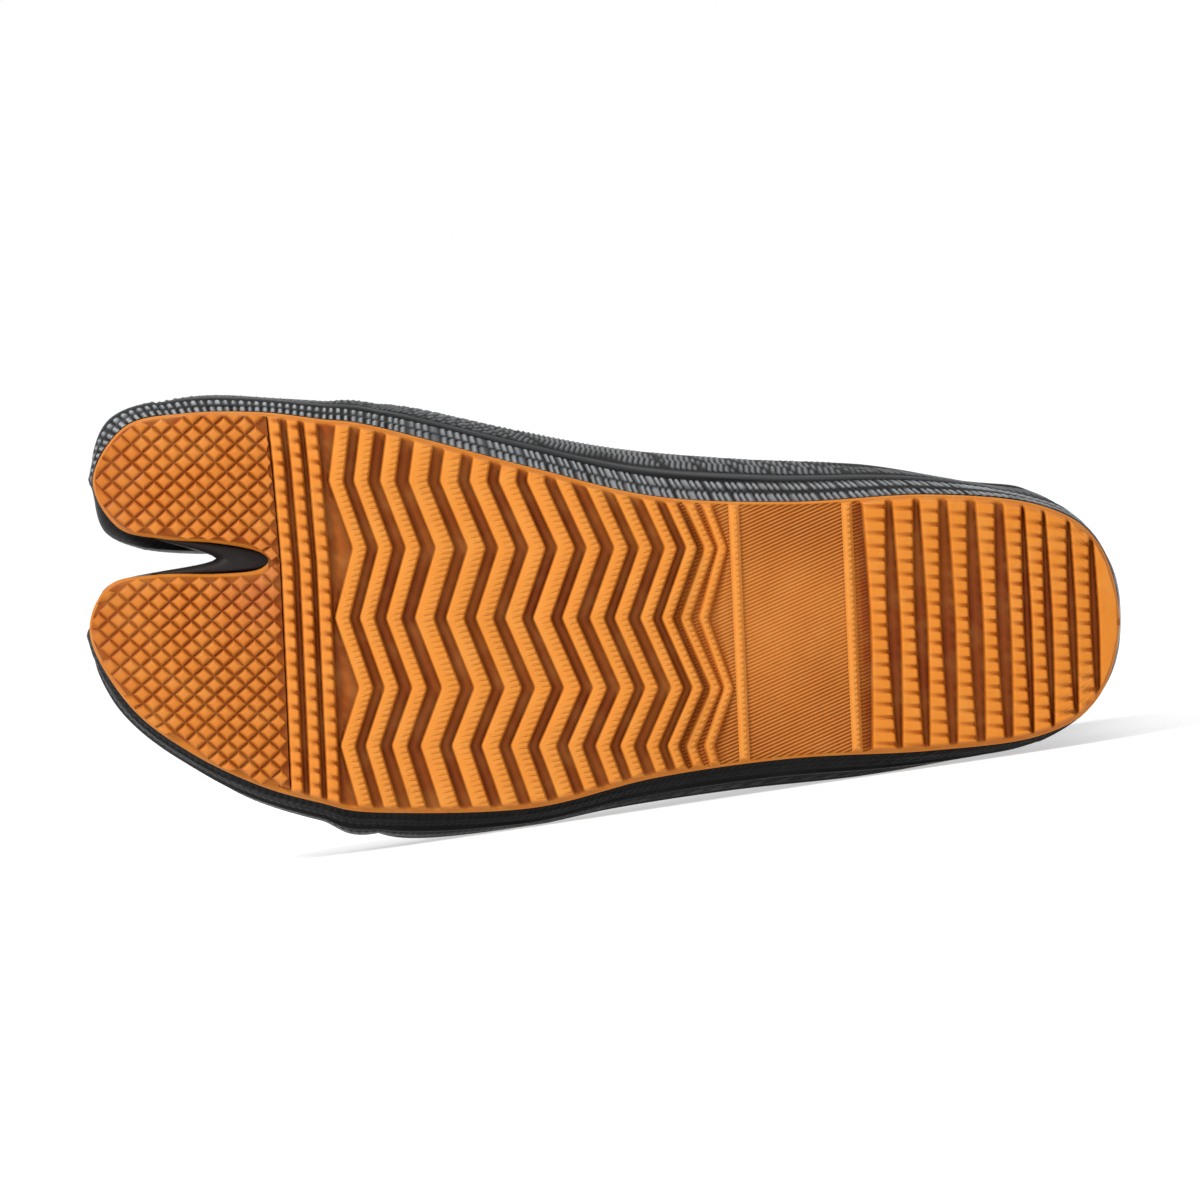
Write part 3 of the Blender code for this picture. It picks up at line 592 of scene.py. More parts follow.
def built(
    name: str,
    points: np.ndarray,
    faces: np.ndarray,
    uv: np.ndarray | None = None,
    tint: np.ndarray | None = None,
    relief: np.ndarray | None = None,
    angle: float = 40.0,
) -> bpy.types.Object:
    """A mesh object in the lying pose.

    Args:
        name: The piece's name.
        points: Points in the standing shoe's frame.
        faces: Point numbers of each face, all with the same count of corners.
        uv: Two coordinates for each face corner.
        tint: Linear colour for each point.
        relief: One number for each point, 0 low and 1 high.
        angle: Faces that meet at more than this many degrees keep a sharp edge.

    Returns:
        The linked object.
    """
    mesh = bpy.data.meshes.new(name)
    count, corners = len(faces), faces.shape[1]
    mesh.vertices.add(len(points))
    mesh.vertices.foreach_set("co", to_world(points).astype(np.float32).ravel())
    mesh.loops.add(count * corners)
    mesh.loops.foreach_set("vertex_index", faces.astype(np.int32).ravel())
    mesh.polygons.add(count)
    mesh.polygons.foreach_set("loop_start", np.arange(0, count * corners, corners, dtype=np.int32))
    mesh.update(calc_edges=True)
    if uv is not None:
        layer = mesh.uv_layers.new(name="cloth")
        layer.data.foreach_set("uv", uv.astype(np.float32).ravel())
    if tint is not None:
        colour = mesh.attributes.new("tint", "FLOAT_COLOR", "POINT")
        full = np.column_stack([tint, np.ones(len(tint))])
        colour.data.foreach_set("color", full.astype(np.float32).ravel())
    if relief is not None:
        height = mesh.attributes.new("relief", "FLOAT", "POINT")
        height.data.foreach_set("value", relief.astype(np.float32))
    mesh.validate()
    mesh.shade_smooth()
    mesh.set_sharp_from_angle(angle=math.radians(angle))
    obj = bpy.data.objects.new(name, mesh)
    bpy.context.scene.collection.objects.link(obj)
    return obj


def sheet_between(
    name: str,
    skin: Skin,
    lines: slice,
    rows: slice,
    under: np.ndarray,
    over: np.ndarray,
    last: Last,
    tint: np.ndarray | None = None,
) -> bpy.types.Object:
    """A closed wall between two distances from a skin: inner face, outer face and a rim on open edges.

    Args:
        name: The piece's name.
        skin: The surface it follows.
        lines: Lines of the grid that it covers.
        rows: Rows of the grid that it covers.
        under: Distance of the inner face, for each grid place or one number.
        over: Distance of the outer face, for each grid place or one number.
        last: The shoe's form, for the level foot.
        tint: Linear colour for each grid place.

    Returns:
        The linked object.
    """
    grid, normals = skin.grid[lines, rows], skin.normals[lines, rows]
    number = np.unique(skin.number[lines, rows], return_inverse=True)[1].reshape(grid.shape[:2])
    count = number.max() + 1
    shape = grid.shape[:2]
    level = last.foot_base + last.rise(grid[..., 0])
    foot = np.zeros(shape, bool)
    if not rows.start:
        foot[:, 0] = np.isclose(grid[:, 0, 2], level[:, 0], atol=1e-6)
    away = normals.copy()
    away[foot, 2] = 0
    away[foot] /= np.maximum(np.linalg.norm(away[foot], axis=1), 1e-9)[:, None]
    sides = []
    for distance in (under, over):
        side = grid + away * np.broadcast_to(distance, shape)[..., None]
        side[foot, 2] = level[foot]
        flat = np.zeros((count, 3))
        flat[number.ravel()] = side.reshape(-1, 3)
        sides.append(flat)
    faces, places = quad_triangles(number)
    edges, edge_places = (
        np.concatenate([part[:, [0, 1]], part[:, [1, 2]], part[:, [2, 0]]]) for part in (faces, places)
    )
    code = edges[:, 0] * count + edges[:, 1]
    back = edges[:, 1] * count + edges[:, 0]
    rim = ~np.isin(code, back)
    a, b = edges[rim, 0], edges[rim, 1]
    pa, pb = edge_places[rim, 0], edge_places[rim, 1]
    rim_faces = np.vstack([np.stack([a, a + count, b + count], axis=1), np.stack([a, b + count, b], axis=1)])
    rim_places = np.concatenate([np.stack([pa, pa, pb], axis=1), np.stack([pa, pb, pb], axis=1)])
    uv = skin.distance[lines, rows].reshape(-1, 2)
    all_faces = np.concatenate([faces[:, ::-1], faces + count, rim_faces[:, ::-1]])
    all_places = np.concatenate([places[:, ::-1], places, rim_places[:, ::-1]])
    paint = None
    if tint is not None:
        one = np.zeros((count, 3))
        one[number.ravel()] = tint[lines, rows].reshape(-1, 3)
        paint = np.vstack([one, one])
    return built(name, np.vstack(sides), all_faces, uv[all_places.ravel()], paint)


class Graph:
    """A small helper that adds nodes to a material and joins them."""

    def __init__(self, name: str) -> None:
        """Starts a material with its Principled shader.

        Args:
            name: The material's name.
        """
        self.material = bpy.data.materials.new(name)
        self.material.use_nodes = True
        self.tree = self.material.node_tree
        self.shader = self.tree.nodes["Principled BSDF"]

    def add(
        self, kind: str, inputs: dict[str | int, object] | None = None, **settings: object
    ) -> bpy.types.Node:
        """Adds a node.

        Args:
            kind: Blender's node type.
            inputs: Socket values, or sockets to join.
            **settings: Node properties.

        Returns:
            The new node.
        """
        node = self.tree.nodes.new(kind)
        for key, value in settings.items():
            setattr(node, key, value)
        for key, value in (inputs or {}).items():
            self.join(value, node.inputs[key])
        return node

    def join(self, value: object, socket: bpy.types.NodeSocket) -> None:
        """Joins a socket to another, or sets its value.

        Args:
            value: A socket, or the value to set.
            socket: The input that gets it.
        """
        if isinstance(value, bpy.types.NodeSocket):
            self.tree.links.new(value, socket)
        else:
            socket.default_value = value

    def place(self) -> bpy.types.NodeSocket:
        """Object coordinates."""
        return self.add("ShaderNodeTexCoord").outputs["Object"]

    def cloth(self) -> tuple[bpy.types.NodeSocket, bpy.types.NodeSocket]:
        """The piece's own flat coordinates in metres, from its map."""
        parts = self.add("ShaderNodeSeparateXYZ", {0: self.add("ShaderNodeUVMap", uv_map="cloth").outputs[0]})
        return parts.outputs[0], parts.outputs[1]

    def attribute(self, name: str, output: str) -> bpy.types.NodeSocket:
        """A mesh attribute, as Color or Fac."""
        return self.add("ShaderNodeAttribute", attribute_name=name).outputs[output]

    def maths(self, operation: str, first: object, second: object = 0.0) -> bpy.types.NodeSocket:
        """Result of a Math node."""
        return self.add("ShaderNodeMath", {0: first, 1: second}, operation=operation).outputs[0]

    def product(self, first: object, *others: object) -> bpy.types.NodeSocket:
        """Product of several values.

        Args:
            first: A socket or a number.
            *others: What it is multiplied by, one after the other.

        Returns:
            The last product's socket.
        """
        for other in others:
            first = self.maths("MULTIPLY", first, other)
        return first

    def stripes(self, u: object, v: object, lean: float, pitch: float) -> bpy.types.NodeSocket:
        """Slanting stripes: the sine of 2 pi (v + lean * u) / pitch."""
        across = self.maths("ADD", v, self.product(u, lean))
        return self.maths("SINE", self.product(across, 2 * math.pi / pitch))

    def mixed(self, share: object, first: object, second: object, blend: str = "MIX") -> bpy.types.NodeSocket:
        """Two colours mixed.

        Args:
            share: How much of the second, from 0 to 1.
            first: The colour underneath.
            second: The colour on top.
            blend: Blender's way of mixing them.

        Returns:
            The mixed colour's socket.
        """
        node = self.add("ShaderNodeMix", data_type="RGBA", blend_type=blend)
        for index, value in ((0, share), (6, first), (7, second)):
            self.join((*value, 1.0) if isinstance(value, tuple) else value, node.inputs[index])
        return node.outputs[2]

    def veiled(
        self, base: object, pattern: object, low: float, high: float, share: float, colour: Triple
    ) -> bpy.types.NodeSocket:
        """A colour laid over a base, by a share that grows as a pattern rises from low to high."""
        return self.mixed(self.ranged(pattern, low, high, 0.0, share), base, colour)

    def noise(
        self, vector: object, scale: float, detail: float = 3.0, rough: float = 0.5
    ) -> bpy.types.NodeSocket:
        """Noise value at a scale in cells for each metre."""
        inputs = {"Vector": vector, "Scale": scale, "Detail": detail, "Roughness": rough}
        return self.add("ShaderNodeTexNoise", inputs).outputs[0]

    def ranged(
        self, value: object, low: float, high: float, first: float, second: float
    ) -> bpy.types.NodeSocket:
        """Map Range from low..high to first..second."""
        return self.add("ShaderNodeMapRange", {0: value, 1: low, 2: high, 3: first, 4: second}).outputs[0]

    def bump(
        self, height: object, distance: float, strength: float = 1.0, under: object = None
    ) -> bpy.types.NodeSocket:
        """Normal from a height, optionally on top of another normal.

        Args:
            height: The height's socket.
            distance: Metres between heights 0 and 1.
            strength: How much of it shows.
            under: Socket of the normal underneath.

        Returns:
            The normal's socket.
        """
        inputs = {"Height": height, "Distance": distance, "Strength": strength}
        if under is not None:
            inputs["Normal"] = under
        return self.add("ShaderNodeBump", inputs).outputs[0]

    def set(self, **values: object) -> None:
        """Sets or joins sockets of the Principled shader; underscores stand for spaces."""
        for key, value in values.items():
            self.join(value, self.shader.inputs[key.replace("_", " ")])


@dataclass(frozen=True)
class AmberRubber:
    """Amber gum rubber: tinted by zone and height, the height ramp being partly painted shade in the grooves,
    cloudy, satin, with fine moulding marks whose lines and nicks carry painted shade.
    """

    name: str = "amber_gum"
    roughness: float = 0.46
    hatch_pitch: float = 0.00095
    hatch_lean: float = 0.45
    nick_pitch: float = 0.0015
    nick_lean: float = 0.18
    wander: float = 0.0012
    stain: Triple = (0.55, 0.20, 0.025)
    bloom: Triple = (0.82, 0.44, 0.11)
    grime: Triple = (0.33, 0.10, 0.02)
    # Colours of painted shade: along the waist's hatch lines, then in the nicks on the bars' tops.
    hatch_painted_shade: Triple = (0.25, 0.045, 0.0)
    nick_painted_shade: Triple = (0.44, 0.14, 0.02)
    depth: float = 0.79

    def make(self, treaded: bool = False) -> bpy.types.Material:
        """Builds the material.

        Args:
            treaded: True for the tread, with the waist's fine diagonal lines and nicks along the bars' tops,
                both darkened with painted shade.

        Returns:
            The material.
        """
        g = Graph(self.name)
        place, relief = g.place(), g.attribute("relief", "Fac")
        cloudy = g.noise(place, 38.0, 4.0, 0.55)
        fine = g.noise(place, 420.0, 3.0, 0.6)
        streak = g.noise(place, 140.0, 2.0, 0.5)
        base = g.veiled(g.attribute("tint", "Color"), cloudy, 0.35, 0.68, 0.22, self.stain)
        base = g.veiled(base, streak, 0.45, 0.75, 0.14, self.bloom)
        base = g.veiled(base, fine, 0.55, 0.8, 0.22, self.grime)
        normal = g.bump(fine, 0.0004, 0.35)
        if treaded:
            u, v = g.cloth()
            wave = g.ranged(g.stripes(u, v, self.hatch_lean, self.hatch_pitch), -1.0, 1.0, 0.0, 1.0)
            waist = g.ranged(relief, -1.5, -0.5, 1.0, 0.0)
            faint = g.ranged(g.maths("ABSOLUTE", v), 0.004, 0.024, 0.7, 1.0)
            lines = g.product(wave, waist, faint, g.ranged(cloudy, 0.3, 0.6, 0.75, 1.0))
            normal = g.bump(lines, 0.0008, 0.8, normal)
            # Painted shade along the hatch lines.
            base = g.mixed(lines, base, self.hatch_painted_shade)
            wandering = g.maths("ADD", v, g.product(streak, self.wander))
            nick = g.ranged(g.stripes(u, wandering, self.nick_lean, self.nick_pitch), 0.15, 0.8, 0.0, 1.0)
            crest = g.ranged(relief, 0.85, 0.96, 0.0, 1.0)
            nicks = g.product(nick, crest, g.ranged(cloudy, 0.3, 0.55, 0.45, 1.0))
            normal = g.bump(nicks, 0.00045, 0.8, normal)
            # Painted shade in the nicks.
            base = g.mixed(g.product(nicks, 0.42), base, self.nick_painted_shade)
        base = g.mixed(1.0, base, (self.depth,) * 3, "MULTIPLY")
        rough = g.ranged(cloudy, 0.3, 0.7, self.roughness - 0.06, self.roughness + 0.12)
        g.set(Base_Color=base, Roughness=rough, Normal=normal, IOR=1.5, Specular_IOR_Level=0.12)
        return g.material


@dataclass(frozen=True)
class BlackRubber:
    """Black vulcanised rubber: tinted by its mesh's colours, which on the foxing carry painted highlights,
    dusty in cloudy patches, with a fine grain.
    """

    name: str = "black_gum"
    dust: Triple = (0.040, 0.038, 0.037)

    def make(self) -> bpy.types.Material:
        """Builds the material.

        Returns:
            The material.
        """
        g = Graph(self.name)
        place = g.place()
        cloudy = g.noise(place, 60.0, 5.0, 0.6)
        grain = g.noise(place, 900.0, 2.0, 0.6)
        base = g.veiled(g.attribute("tint", "Color"), cloudy, 0.5, 0.8, 0.25, self.dust)
        g.set(Base_Color=base, Roughness=g.ranged(cloudy, 0.3, 0.7, 0.30, 0.52))
        g.set(Normal=g.bump(grain, 0.0003, 0.35), IOR=1.5, Specular_IOR_Level=0.10)
        return g.material


@dataclass(frozen=True)
class WovenCloth:
    """Plain-woven cloth: warp and weft as two crossed waves on the cloth's own coordinates, with painted
    shade between the threads.
    """

    name: str
    colour: Triple
    pitch: float = 0.00075
    depth: float = 0.00022
    fade: float = 0.35

    def make(self) -> bpy.types.Material:
        """Builds the material: height = |sin u| or |sin v|, whichever thread lies on top.

        Returns:
            The material.
        """
        g = Graph(self.name)
        place = g.place()
        wobble = g.product(g.noise(place, 300.0, 2.0), 0.00025)
        turns = math.pi / self.pitch
        waves = [g.maths("SINE", g.product(g.maths("ADD", part, wobble), turns)) for part in g.cloth()]
        warp, weft = (g.maths("ABSOLUTE", wave) for wave in waves)
        over = g.ranged(g.product(*waves), -0.2, 0.2, 0.0, 1.0)
        height = g.maths("ADD", g.product(warp, over), g.product(weft, g.maths("SUBTRACT", 1.0, over)))
        worn = g.noise(place, 26.0, 5.0, 0.6)
        fibre = g.noise(place, 1400.0, 2.0, 0.7)
        # Painted shade: dark fills the weave's dips between threads, and the thread tops keep the colour.
        dark = tuple(0.45 * c for c in self.colour)
        pale = tuple(min(1.0, 2.2 * c + 0.008) for c in self.colour)
        base = g.veiled(dark, height, 0.1, 0.9, 1.0, self.colour)
        base = g.veiled(base, worn, 0.42, 0.78, self.fade, pale)
        base = g.veiled(base, fibre, 0.5, 0.85, 0.35, pale)
        crease = g.bump(g.noise(place, 34.0, 3.0, 0.45), 0.004, 0.35)
        normal = g.bump(height, self.depth, 0.8, crease)
        g.set(Base_Color=base, Roughness=0.92, Normal=normal, Sheen_Weight=0.12, Sheen_Roughness=0.5)
        g.set(Specular_IOR_Level=0.25)
        return g.material


@dataclass(frozen=True)
class Thread:
    """Twisted sewing thread, with painted shade in the twist's hollows."""

    name: str = "sewing_thread"
    colour: Triple = (0.10, 0.10, 0.105)

    def make(self) -> bpy.types.Material:
        """Builds the material.

        Returns:
            The material.
        """
        g = Graph(self.name)
        twist = g.noise(g.place(), 2600.0, 2.0)
        # Painted shade: half the colour where the twist is low.
        base = g.veiled(tuple(0.5 * c for c in self.colour), twist, 0.4, 0.7, 1.0, self.colour)
        g.set(Base_Color=base, Roughness=0.75, Normal=g.bump(twist, 0.0002, 0.6), Sheen_Weight=0.25)
        return g.material


@dataclass(frozen=True)
class PressedBrass:
    """Pressed brass, a little tarnished, with fine rubbing marks."""

    name: str = "pressed_brass"
    clean: Triple = (0.83, 0.61, 0.26)
    dull: Triple = (0.42, 0.27, 0.10)
    rubbing: Triple = (90.0, 1400.0, 1400.0)

    def make(self) -> bpy.types.Material:
        """Builds the material.

        Returns:
            The material.
        """
        g = Graph(self.name)
        place = g.place()
        stretched = g.add("ShaderNodeMapping", {"Vector": place, "Scale": self.rubbing}).outputs[0]
        rub = g.noise(stretched, 1.0, 2.0)
        tarnish = g.noise(place, 260.0, 4.0, 0.6)
        base = g.veiled(self.clean, tarnish, 0.45, 0.75, 0.6, self.dull)
        g.set(Base_Color=base, Metallic=1.0, Roughness=g.ranged(rub, 0.3, 0.7, 0.18, 0.42))
        g.set(Normal=g.bump(rub, 0.0002, 0.2))
        return g.material


@dataclass(frozen=True)
class BarRow:
    """One row of the tread's grid: a line across the sole at one height.

    kind is its field, along its bar's place as a share of the sole's length, width a share of bar_width and
    depth a share of zigzag_depth. side is 1 on the bar's front, -1 on its back and 0 on its middle. offset is
    a distance out from the half width, and up the height, with 1 for a full bar.
    """

    kind: Zone
    along: float
    width: float = 0.0
    depth: float = 0.0
    side: int = 0
    offset: float = 0.0
    up: float = 0.0

    @property
    def shallow(self) -> bool:
        """True in the fields with low ribs only."""
        return self.kind in (Zone.THIN, Zone.WAIST)

    @property
    def hatched(self) -> bool:
        """True on the waist's floor and at the feet of low ribs."""
        return self.up < 0 or (self.shallow and self.up == 0)


@dataclass
class Outsole:
    """The amber sole: a plate with a rounded lip, the barred tread, and two studded toe pads."""

    last: Last
    bar_width: float = 0.0044
    slant: float = 0.045
    zigzag_depth: float = 0.0072
    rib_height: float = 0.0010
    rib_width: float = 0.0014
    ribs: tuple[float, float] = (0.3700, 0.2604)
    margin: float = 0.0007
    heel_flare: float = 0.55
    flare_reach: float = 0.32
    toe_notch_pitch: float = 0.0037
    heel_notch_pitch: float = 0.0034
    notch_depth: float = 0.00045
    plain_heel: float = 0.03
    pads_from: float = 0.8215
    pad_margin: float = 0.0005
    pad_depth: float = 0.0014
    lobes_meet: float = 0.160
    stud_margin: float = 0.0006
    stud_along: float = 0.0054
    stud_across: float = 0.0048
    stud_floor: float = 0.0013
    stud_height: float = 0.00128
    worn_spot: tuple[float, float] = (0.222, 0.010)
    worn_radius: float = 0.010

    def plate(self) -> bpy.types.Object:
        """The plate: the outline carried round a quarter-round lip, closed at both ends, bent by the spring.

        Returns:
            The linked object.
        """
        last = self.last
        top, low = last.sole_top, last.lug_height
        lip = [(0.0016, 0.00002), (0.0010, 0.00004), (0.0006, 0.00012), (0.0003, 0.00032), (0.0001, 0.00062)]
        profile = [(inset, low + up) for inset, up in lip + [(0.0, 0.0010)]]
        profile += [(0.0, top - 0.0006), (0.0002, top - 0.0002), (0.0006, top)]
        at = np.linspace(0, len(OUTLINE), 20 * len(OUTLINE) + 1)[:-1]
        rings = [np.column_stack([last.inset(at, inset), np.full(len(at), z)]) for inset, z in profile]
        number = np.arange(len(rings) * len(at)).reshape(len(rings), len(at))
        faces = ring_quads(number).tolist() + number[[0, -1]].tolist()
        mesh = bpy.data.meshes.new("plate_rings")
        mesh.from_pydata(np.vstack(rings).tolist(), [], faces)
        shape = bmesh.new()
        shape.from_mesh(mesh)
        bmesh.ops.recalc_face_normals(shape, faces=shape.faces)
        cuts = (np.linspace(0.012, 0.13, 9), np.linspace(0.30, 0.60, 3), np.linspace(0.70, 0.99, 30))
        for share in np.concatenate(cuts):
            geometry = shape.verts[:] + shape.edges[:] + shape.faces[:]
            spot = (share * last.sole_length, 0, 0)
            bmesh.ops.bisect_plane(shape, geom=geometry, dist=1e-6, plane_co=spot, plane_no=(1, 0, 0))
        bmesh.ops.triangulate(shape, faces=shape.faces)
        shape.to_mesh(mesh)
        shape.free()
        points = np.empty(len(mesh.vertices) * 3)
        mesh.vertices.foreach_get("co", points)
        points = points.reshape(-1, 3)
        faces = np.empty(len(mesh.polygons) * 3, np.int32)
        mesh.loops.foreach_get("vertex_index", faces)
        faces = faces.reshape(-1, 3)
        bpy.data.meshes.remove(mesh)
        points[:, 2] += last.rise(points[:, 0])
        tint = np.broadcast_to(linear(Zone.PLATE.value[1]) * 0.94, points.shape)
        uv = points[faces.ravel()][:, :2]
        return built("outsole_plate", points, faces, uv, tint, np.zeros(len(points)), 60)

    def _line(self, row: BarRow, y: np.ndarray) -> np.ndarray:
        """A bar's middle line: place + slant * y + zigzag or bow, its turns softened by a short average.

        Args:
            row: Any row of the bar.
            y: Places across.

        Returns:
            x at each y.
        """
        table = {Zone.ZIGZAG: ZIGZAG_TURNS, Zone.THIN: ZIGZAG_TURNS, Zone.TOE: TOE_BAR_LINE}.get(row.kind)
        forward = np.zeros_like(y)
        if table:
            turns = np.array(table)[::-1]
            share = np.linspace(-0.6, 0.6, 481)
            sharp = np.interp(share, turns[:, 0], turns[:, 1])
            bell = np.exp(-(np.linspace(-1, 1, 9) ** 2) * 3)
            soft = np.convolve(np.pad(sharp, 4, mode="edge"), bell / bell.sum(), mode="valid")
            scale = self.bar_width if row.kind is Zone.TOE else row.depth * self.zigzag_depth / 2
            forward = np.interp(y / self.last.ball_width, share, soft) * scale
        return row.along * self.last.sole_length + forward + y * self.slant

    def _notches(self, row: BarRow, y: np.ndarray) -> np.ndarray:
        """Cross notches of a straight bar: narrow peaks of a cosine, shifted a little from bar to bar.

        Args:
            row: A row of the bar.
            y: Places across.

        Returns:
            1 in a notch and 0 between notches and on rows without them.
        """
        if row.kind not in (Zone.TOE, Zone.HEEL) or row.up <= 0.5 or row.along <= self.plain_heel:
            return np.zeros_like(y)
        pitch = self.toe_notch_pitch if row.kind is Zone.TOE else self.heel_notch_pitch
        wave = 0.5 + 0.5 * np.cos(2 * math.pi * (y / pitch + 31 * row.along))
        return smooth(wave, 0.62, 0.96)

    def _place(self, row: BarRow, y: np.ndarray) -> np.ndarray:
        """x of a row: middle line plus the half width, wider at the heel's edges and less in notches behind.

        Args:
            row: The row.
            y: Places across.

        Returns:
            x at each y.
        """
        half = row.width * self.bar_width / 2
        if row.kind is Zone.HEEL:
            reach = np.clip(np.abs(y) / (self.flare_reach * self.last.ball_width), 0, 1)
            half = half * (1 + self.heel_flare * reach**1.6)
        if row.side < 0:
            half = half - self.notch_depth * self._notches(row, y)
        return self._line(row, y) + row.side * (half + row.offset)

    def _rows(self) -> list[BarRow]:
        """Rows of the tread from toes to heel: each bar's profile up and down, and the waist's floor.

        Returns:
            The rows in order.
        """
        low = self.rib_height / self.last.lug_height
        bars = [(Zone.TOE, along, width, 0.0, 1.0) for along, width in TOE_BARS]
        bars += [(Zone.ZIGZAG, *bar, 1.0) for bar in ZIGZAG_BARS]
        bars += [(Zone.THIN, *bar, low) for bar in THIN_ZIGZAGS]
        bars += [(Zone.WAIST, along, self.rib_width / self.bar_width, 0.0, low) for along in self.ribs]
        bars += [(Zone.HEEL, along, width, 0.0, 1.0) for along, width in HEEL_BARS]
        rows = [BarRow(Zone.STUDS, self.pads_from + 0.002)]
        for kind, along, width, depth, tall in sorted(bars, key=lambda bar: -bar[1]):
            front = [BarRow(kind, along, width, depth, 1, offset, up * tall) for offset, up in BAR_PROFILE]
            back = [replace(row, side=-1) for row in front[::-1]]
            rows += [*front, BarRow(kind, along, depth=depth, up=tall), *back]
            if kind is Zone.WAIST and along == self.ribs[0]:
                steps = 14
                step = (self.ribs[0] - self.ribs[1]) / steps
                rows += [BarRow(kind, along - k * step, up=HATCHED) for k in range(1, steps)]
        return rows

    def _tone(self, row: BarRow, share: np.ndarray, near: np.ndarray) -> np.ndarray:
        """Colour along a row: dark at a groove's foot as painted shade, then the zone's top colour above,
        plain at the sole's edge.

        Args:
            row: The row.
            share: Height at each point, 1 on top of the zone's bars.
            near: Distance from the edge.

        Returns:
            Linear colour of each point.
        """
        floor, top = (linear(colour) for colour in row.kind.value)
        # Painted shade: the foot of a groove's wall is darkened to 0.52 of the floor colour, to 0.85 in the
        # shallow fields.
        foot = floor * (0.85 if row.shallow else 0.52)
        stops = np.stack([foot, foot, floor + (top - floor) * 0.40, top])
        tone = np.stack([np.interp(share, (0.0, 0.08, 0.62, 1.0), stops[:, k]) for k in range(3)], axis=1)
        if row.up < 0:
            tone = np.broadcast_to(floor, tone.shape)
        shade = smooth(near, 0.0, 0.0012)[:, None]
        return linear(Zone.PLATE.value[1]) * (1 - shade) + tone * shade

    def _across(self, row: BarRow, outer: Branch, inner: Branch) -> tuple[np.ndarray, np.ndarray, np.ndarray]:
        """One row of the tread from edge to edge; its ends are found by halving towards the edge eight times.

        Height = the row's height, rounded off at both ends, less its notches.

        Args:
            row: The row.
            outer: The sole's outer side as y(x).
            inner: Its inner side.

        Returns:
            Points, linear colours, and relief for the finish.
        """
        low, high = np.array([-0.03]), np.array([0.03])
        for _ in range(8):
            low = 0.5 * low + 0.5 * np.interp(self._place(row, low), *outer)
            high = 0.5 * high + 0.5 * np.interp(self._place(row, high), *inner)
        a, b = float(low[0]), float(high[0])
        ends = np.array([0.0, 0.00012, 0.00026, 0.00042, 0.00065, 0.0010])
        middle = a + ends[-1] + (b - a - 2 * ends[-1]) * np.linspace(0, 1, 176)[1:-1]
        y = np.concatenate([a + ends, middle, b - ends[::-1]])
        near = np.minimum(y - a, b - y)
        step = 1 - row.side  # 0 on a bar's front, 1 on its middle and 2 on its back
        height = max(row.up, 0.0) * smooth(near, 0.00005, 0.0008)
        height *= 1 - (0.12, 0.22, 0.34)[step] * self._notches(row, y)
        full = self.rib_height / self.last.lug_height if row.shallow else 1.0
        share = np.clip(height / full, 0, 1)
        # Share of the relief that lets the nicks and their painted shade show: full on the backs of zigzags
        # and ribs, less on their middles, none on their fronts or on toe and heel bars.
        worn = (0.8, 0.92, 1.0)[step] if row.shallow or row.kind is Zone.ZIGZAG else 0.8
        relief = np.full_like(y, HATCHED) if row.hatched else share * worn
        x = self._place(row, y)
        z = self.last.lug_height * (1 - height) + self.last.rise(x)
        return np.stack([x, y, z], axis=1), self._tone(row, share, near), relief

    def tread(self) -> bpy.types.Object:
        """The barred tread: rows follow the bars' lines, columns run from edge to edge.

        A row more stands in the middle of each groove, in the floor's colour without the painted shade of the
        feet.

        Returns:
            The linked object.
        """
        outer, _, _, inner = self.last.branches(self.margin)
        rows = self._rows()
        made = [self._across(row, outer, inner) for row in rows]
        grid, tint, relief = (np.array(part) for part in zip(*made))
        grid[..., 0] = np.minimum.accumulate(grid[..., 0], axis=0)
        after = np.array([k for k in range(1, len(rows)) if rows[k - 1].up == 0 and rows[k].up == 0])
        before = after - 1
        floor = np.stack([linear(rows[k].kind.value[0]) for k in after])[:, None]
        y = grid[0, :, 1]
        inside = smooth(np.minimum(y - y[0], y[-1] - y), 0.0, 0.0012)[:, None]
        hatched = np.minimum(relief[before], relief[after]) < -1
        relief[before] = np.where(hatched, HATCHED, relief[before])
        relief[after] = np.where(hatched, HATCHED, relief[after])
        middle_tint = 0.5 * (tint[before] + tint[after]) * (1 - inside) + floor * inside
        grid = np.insert(grid, after, 0.5 * (grid[before] + grid[after]), axis=0)
        tint = np.insert(tint, after, middle_tint, axis=0)
        relief = np.insert(relief, after, np.where(hatched, HATCHED, 0.0), axis=0)
        points = grid.reshape(-1, 3)
        faces = facing_down(points, grid_quads(*grid.shape[:2]))
        uv = points[faces.ravel()][:, :2]
        return built("tread", points, faces, uv, tint.reshape(-1, 3), relief.ravel(), 50)

    def _pads_back(self, y: np.ndarray) -> np.ndarray:
        """x of the toe pads' back edge at y: just inside the foot of the first toe bar."""
        along, width = TOE_BARS[0]
        return self._line(BarRow(Zone.TOE, along), y) + width * self.bar_width / 2 + 0.0007

    def _lobe(self, outer: bool, margin: float) -> tuple[Branch, Branch]:
        """A toe's two sides as y(x), drawn in by a margin."""
        sides = self.last.branches(margin)
        return (sides[0], sides[1]) if outer else (sides[2], sides[3])

    def _bounds(self, lobe: tuple[Branch, Branch], x: np.ndarray) -> Branch:
        """Both sides of a lobe at x; behind the notch's root they meet on one line.

        Args:
            lobe: The toe's two sides.
            x: Places along the sole.

        Returns:
            Lower and upper y.
        """
        meet = self.lobes_meet * self.last.ball_width
        low, high = (np.where(x < side[0][0], meet, np.interp(x, *side)) for side in lobe)
        return low, high

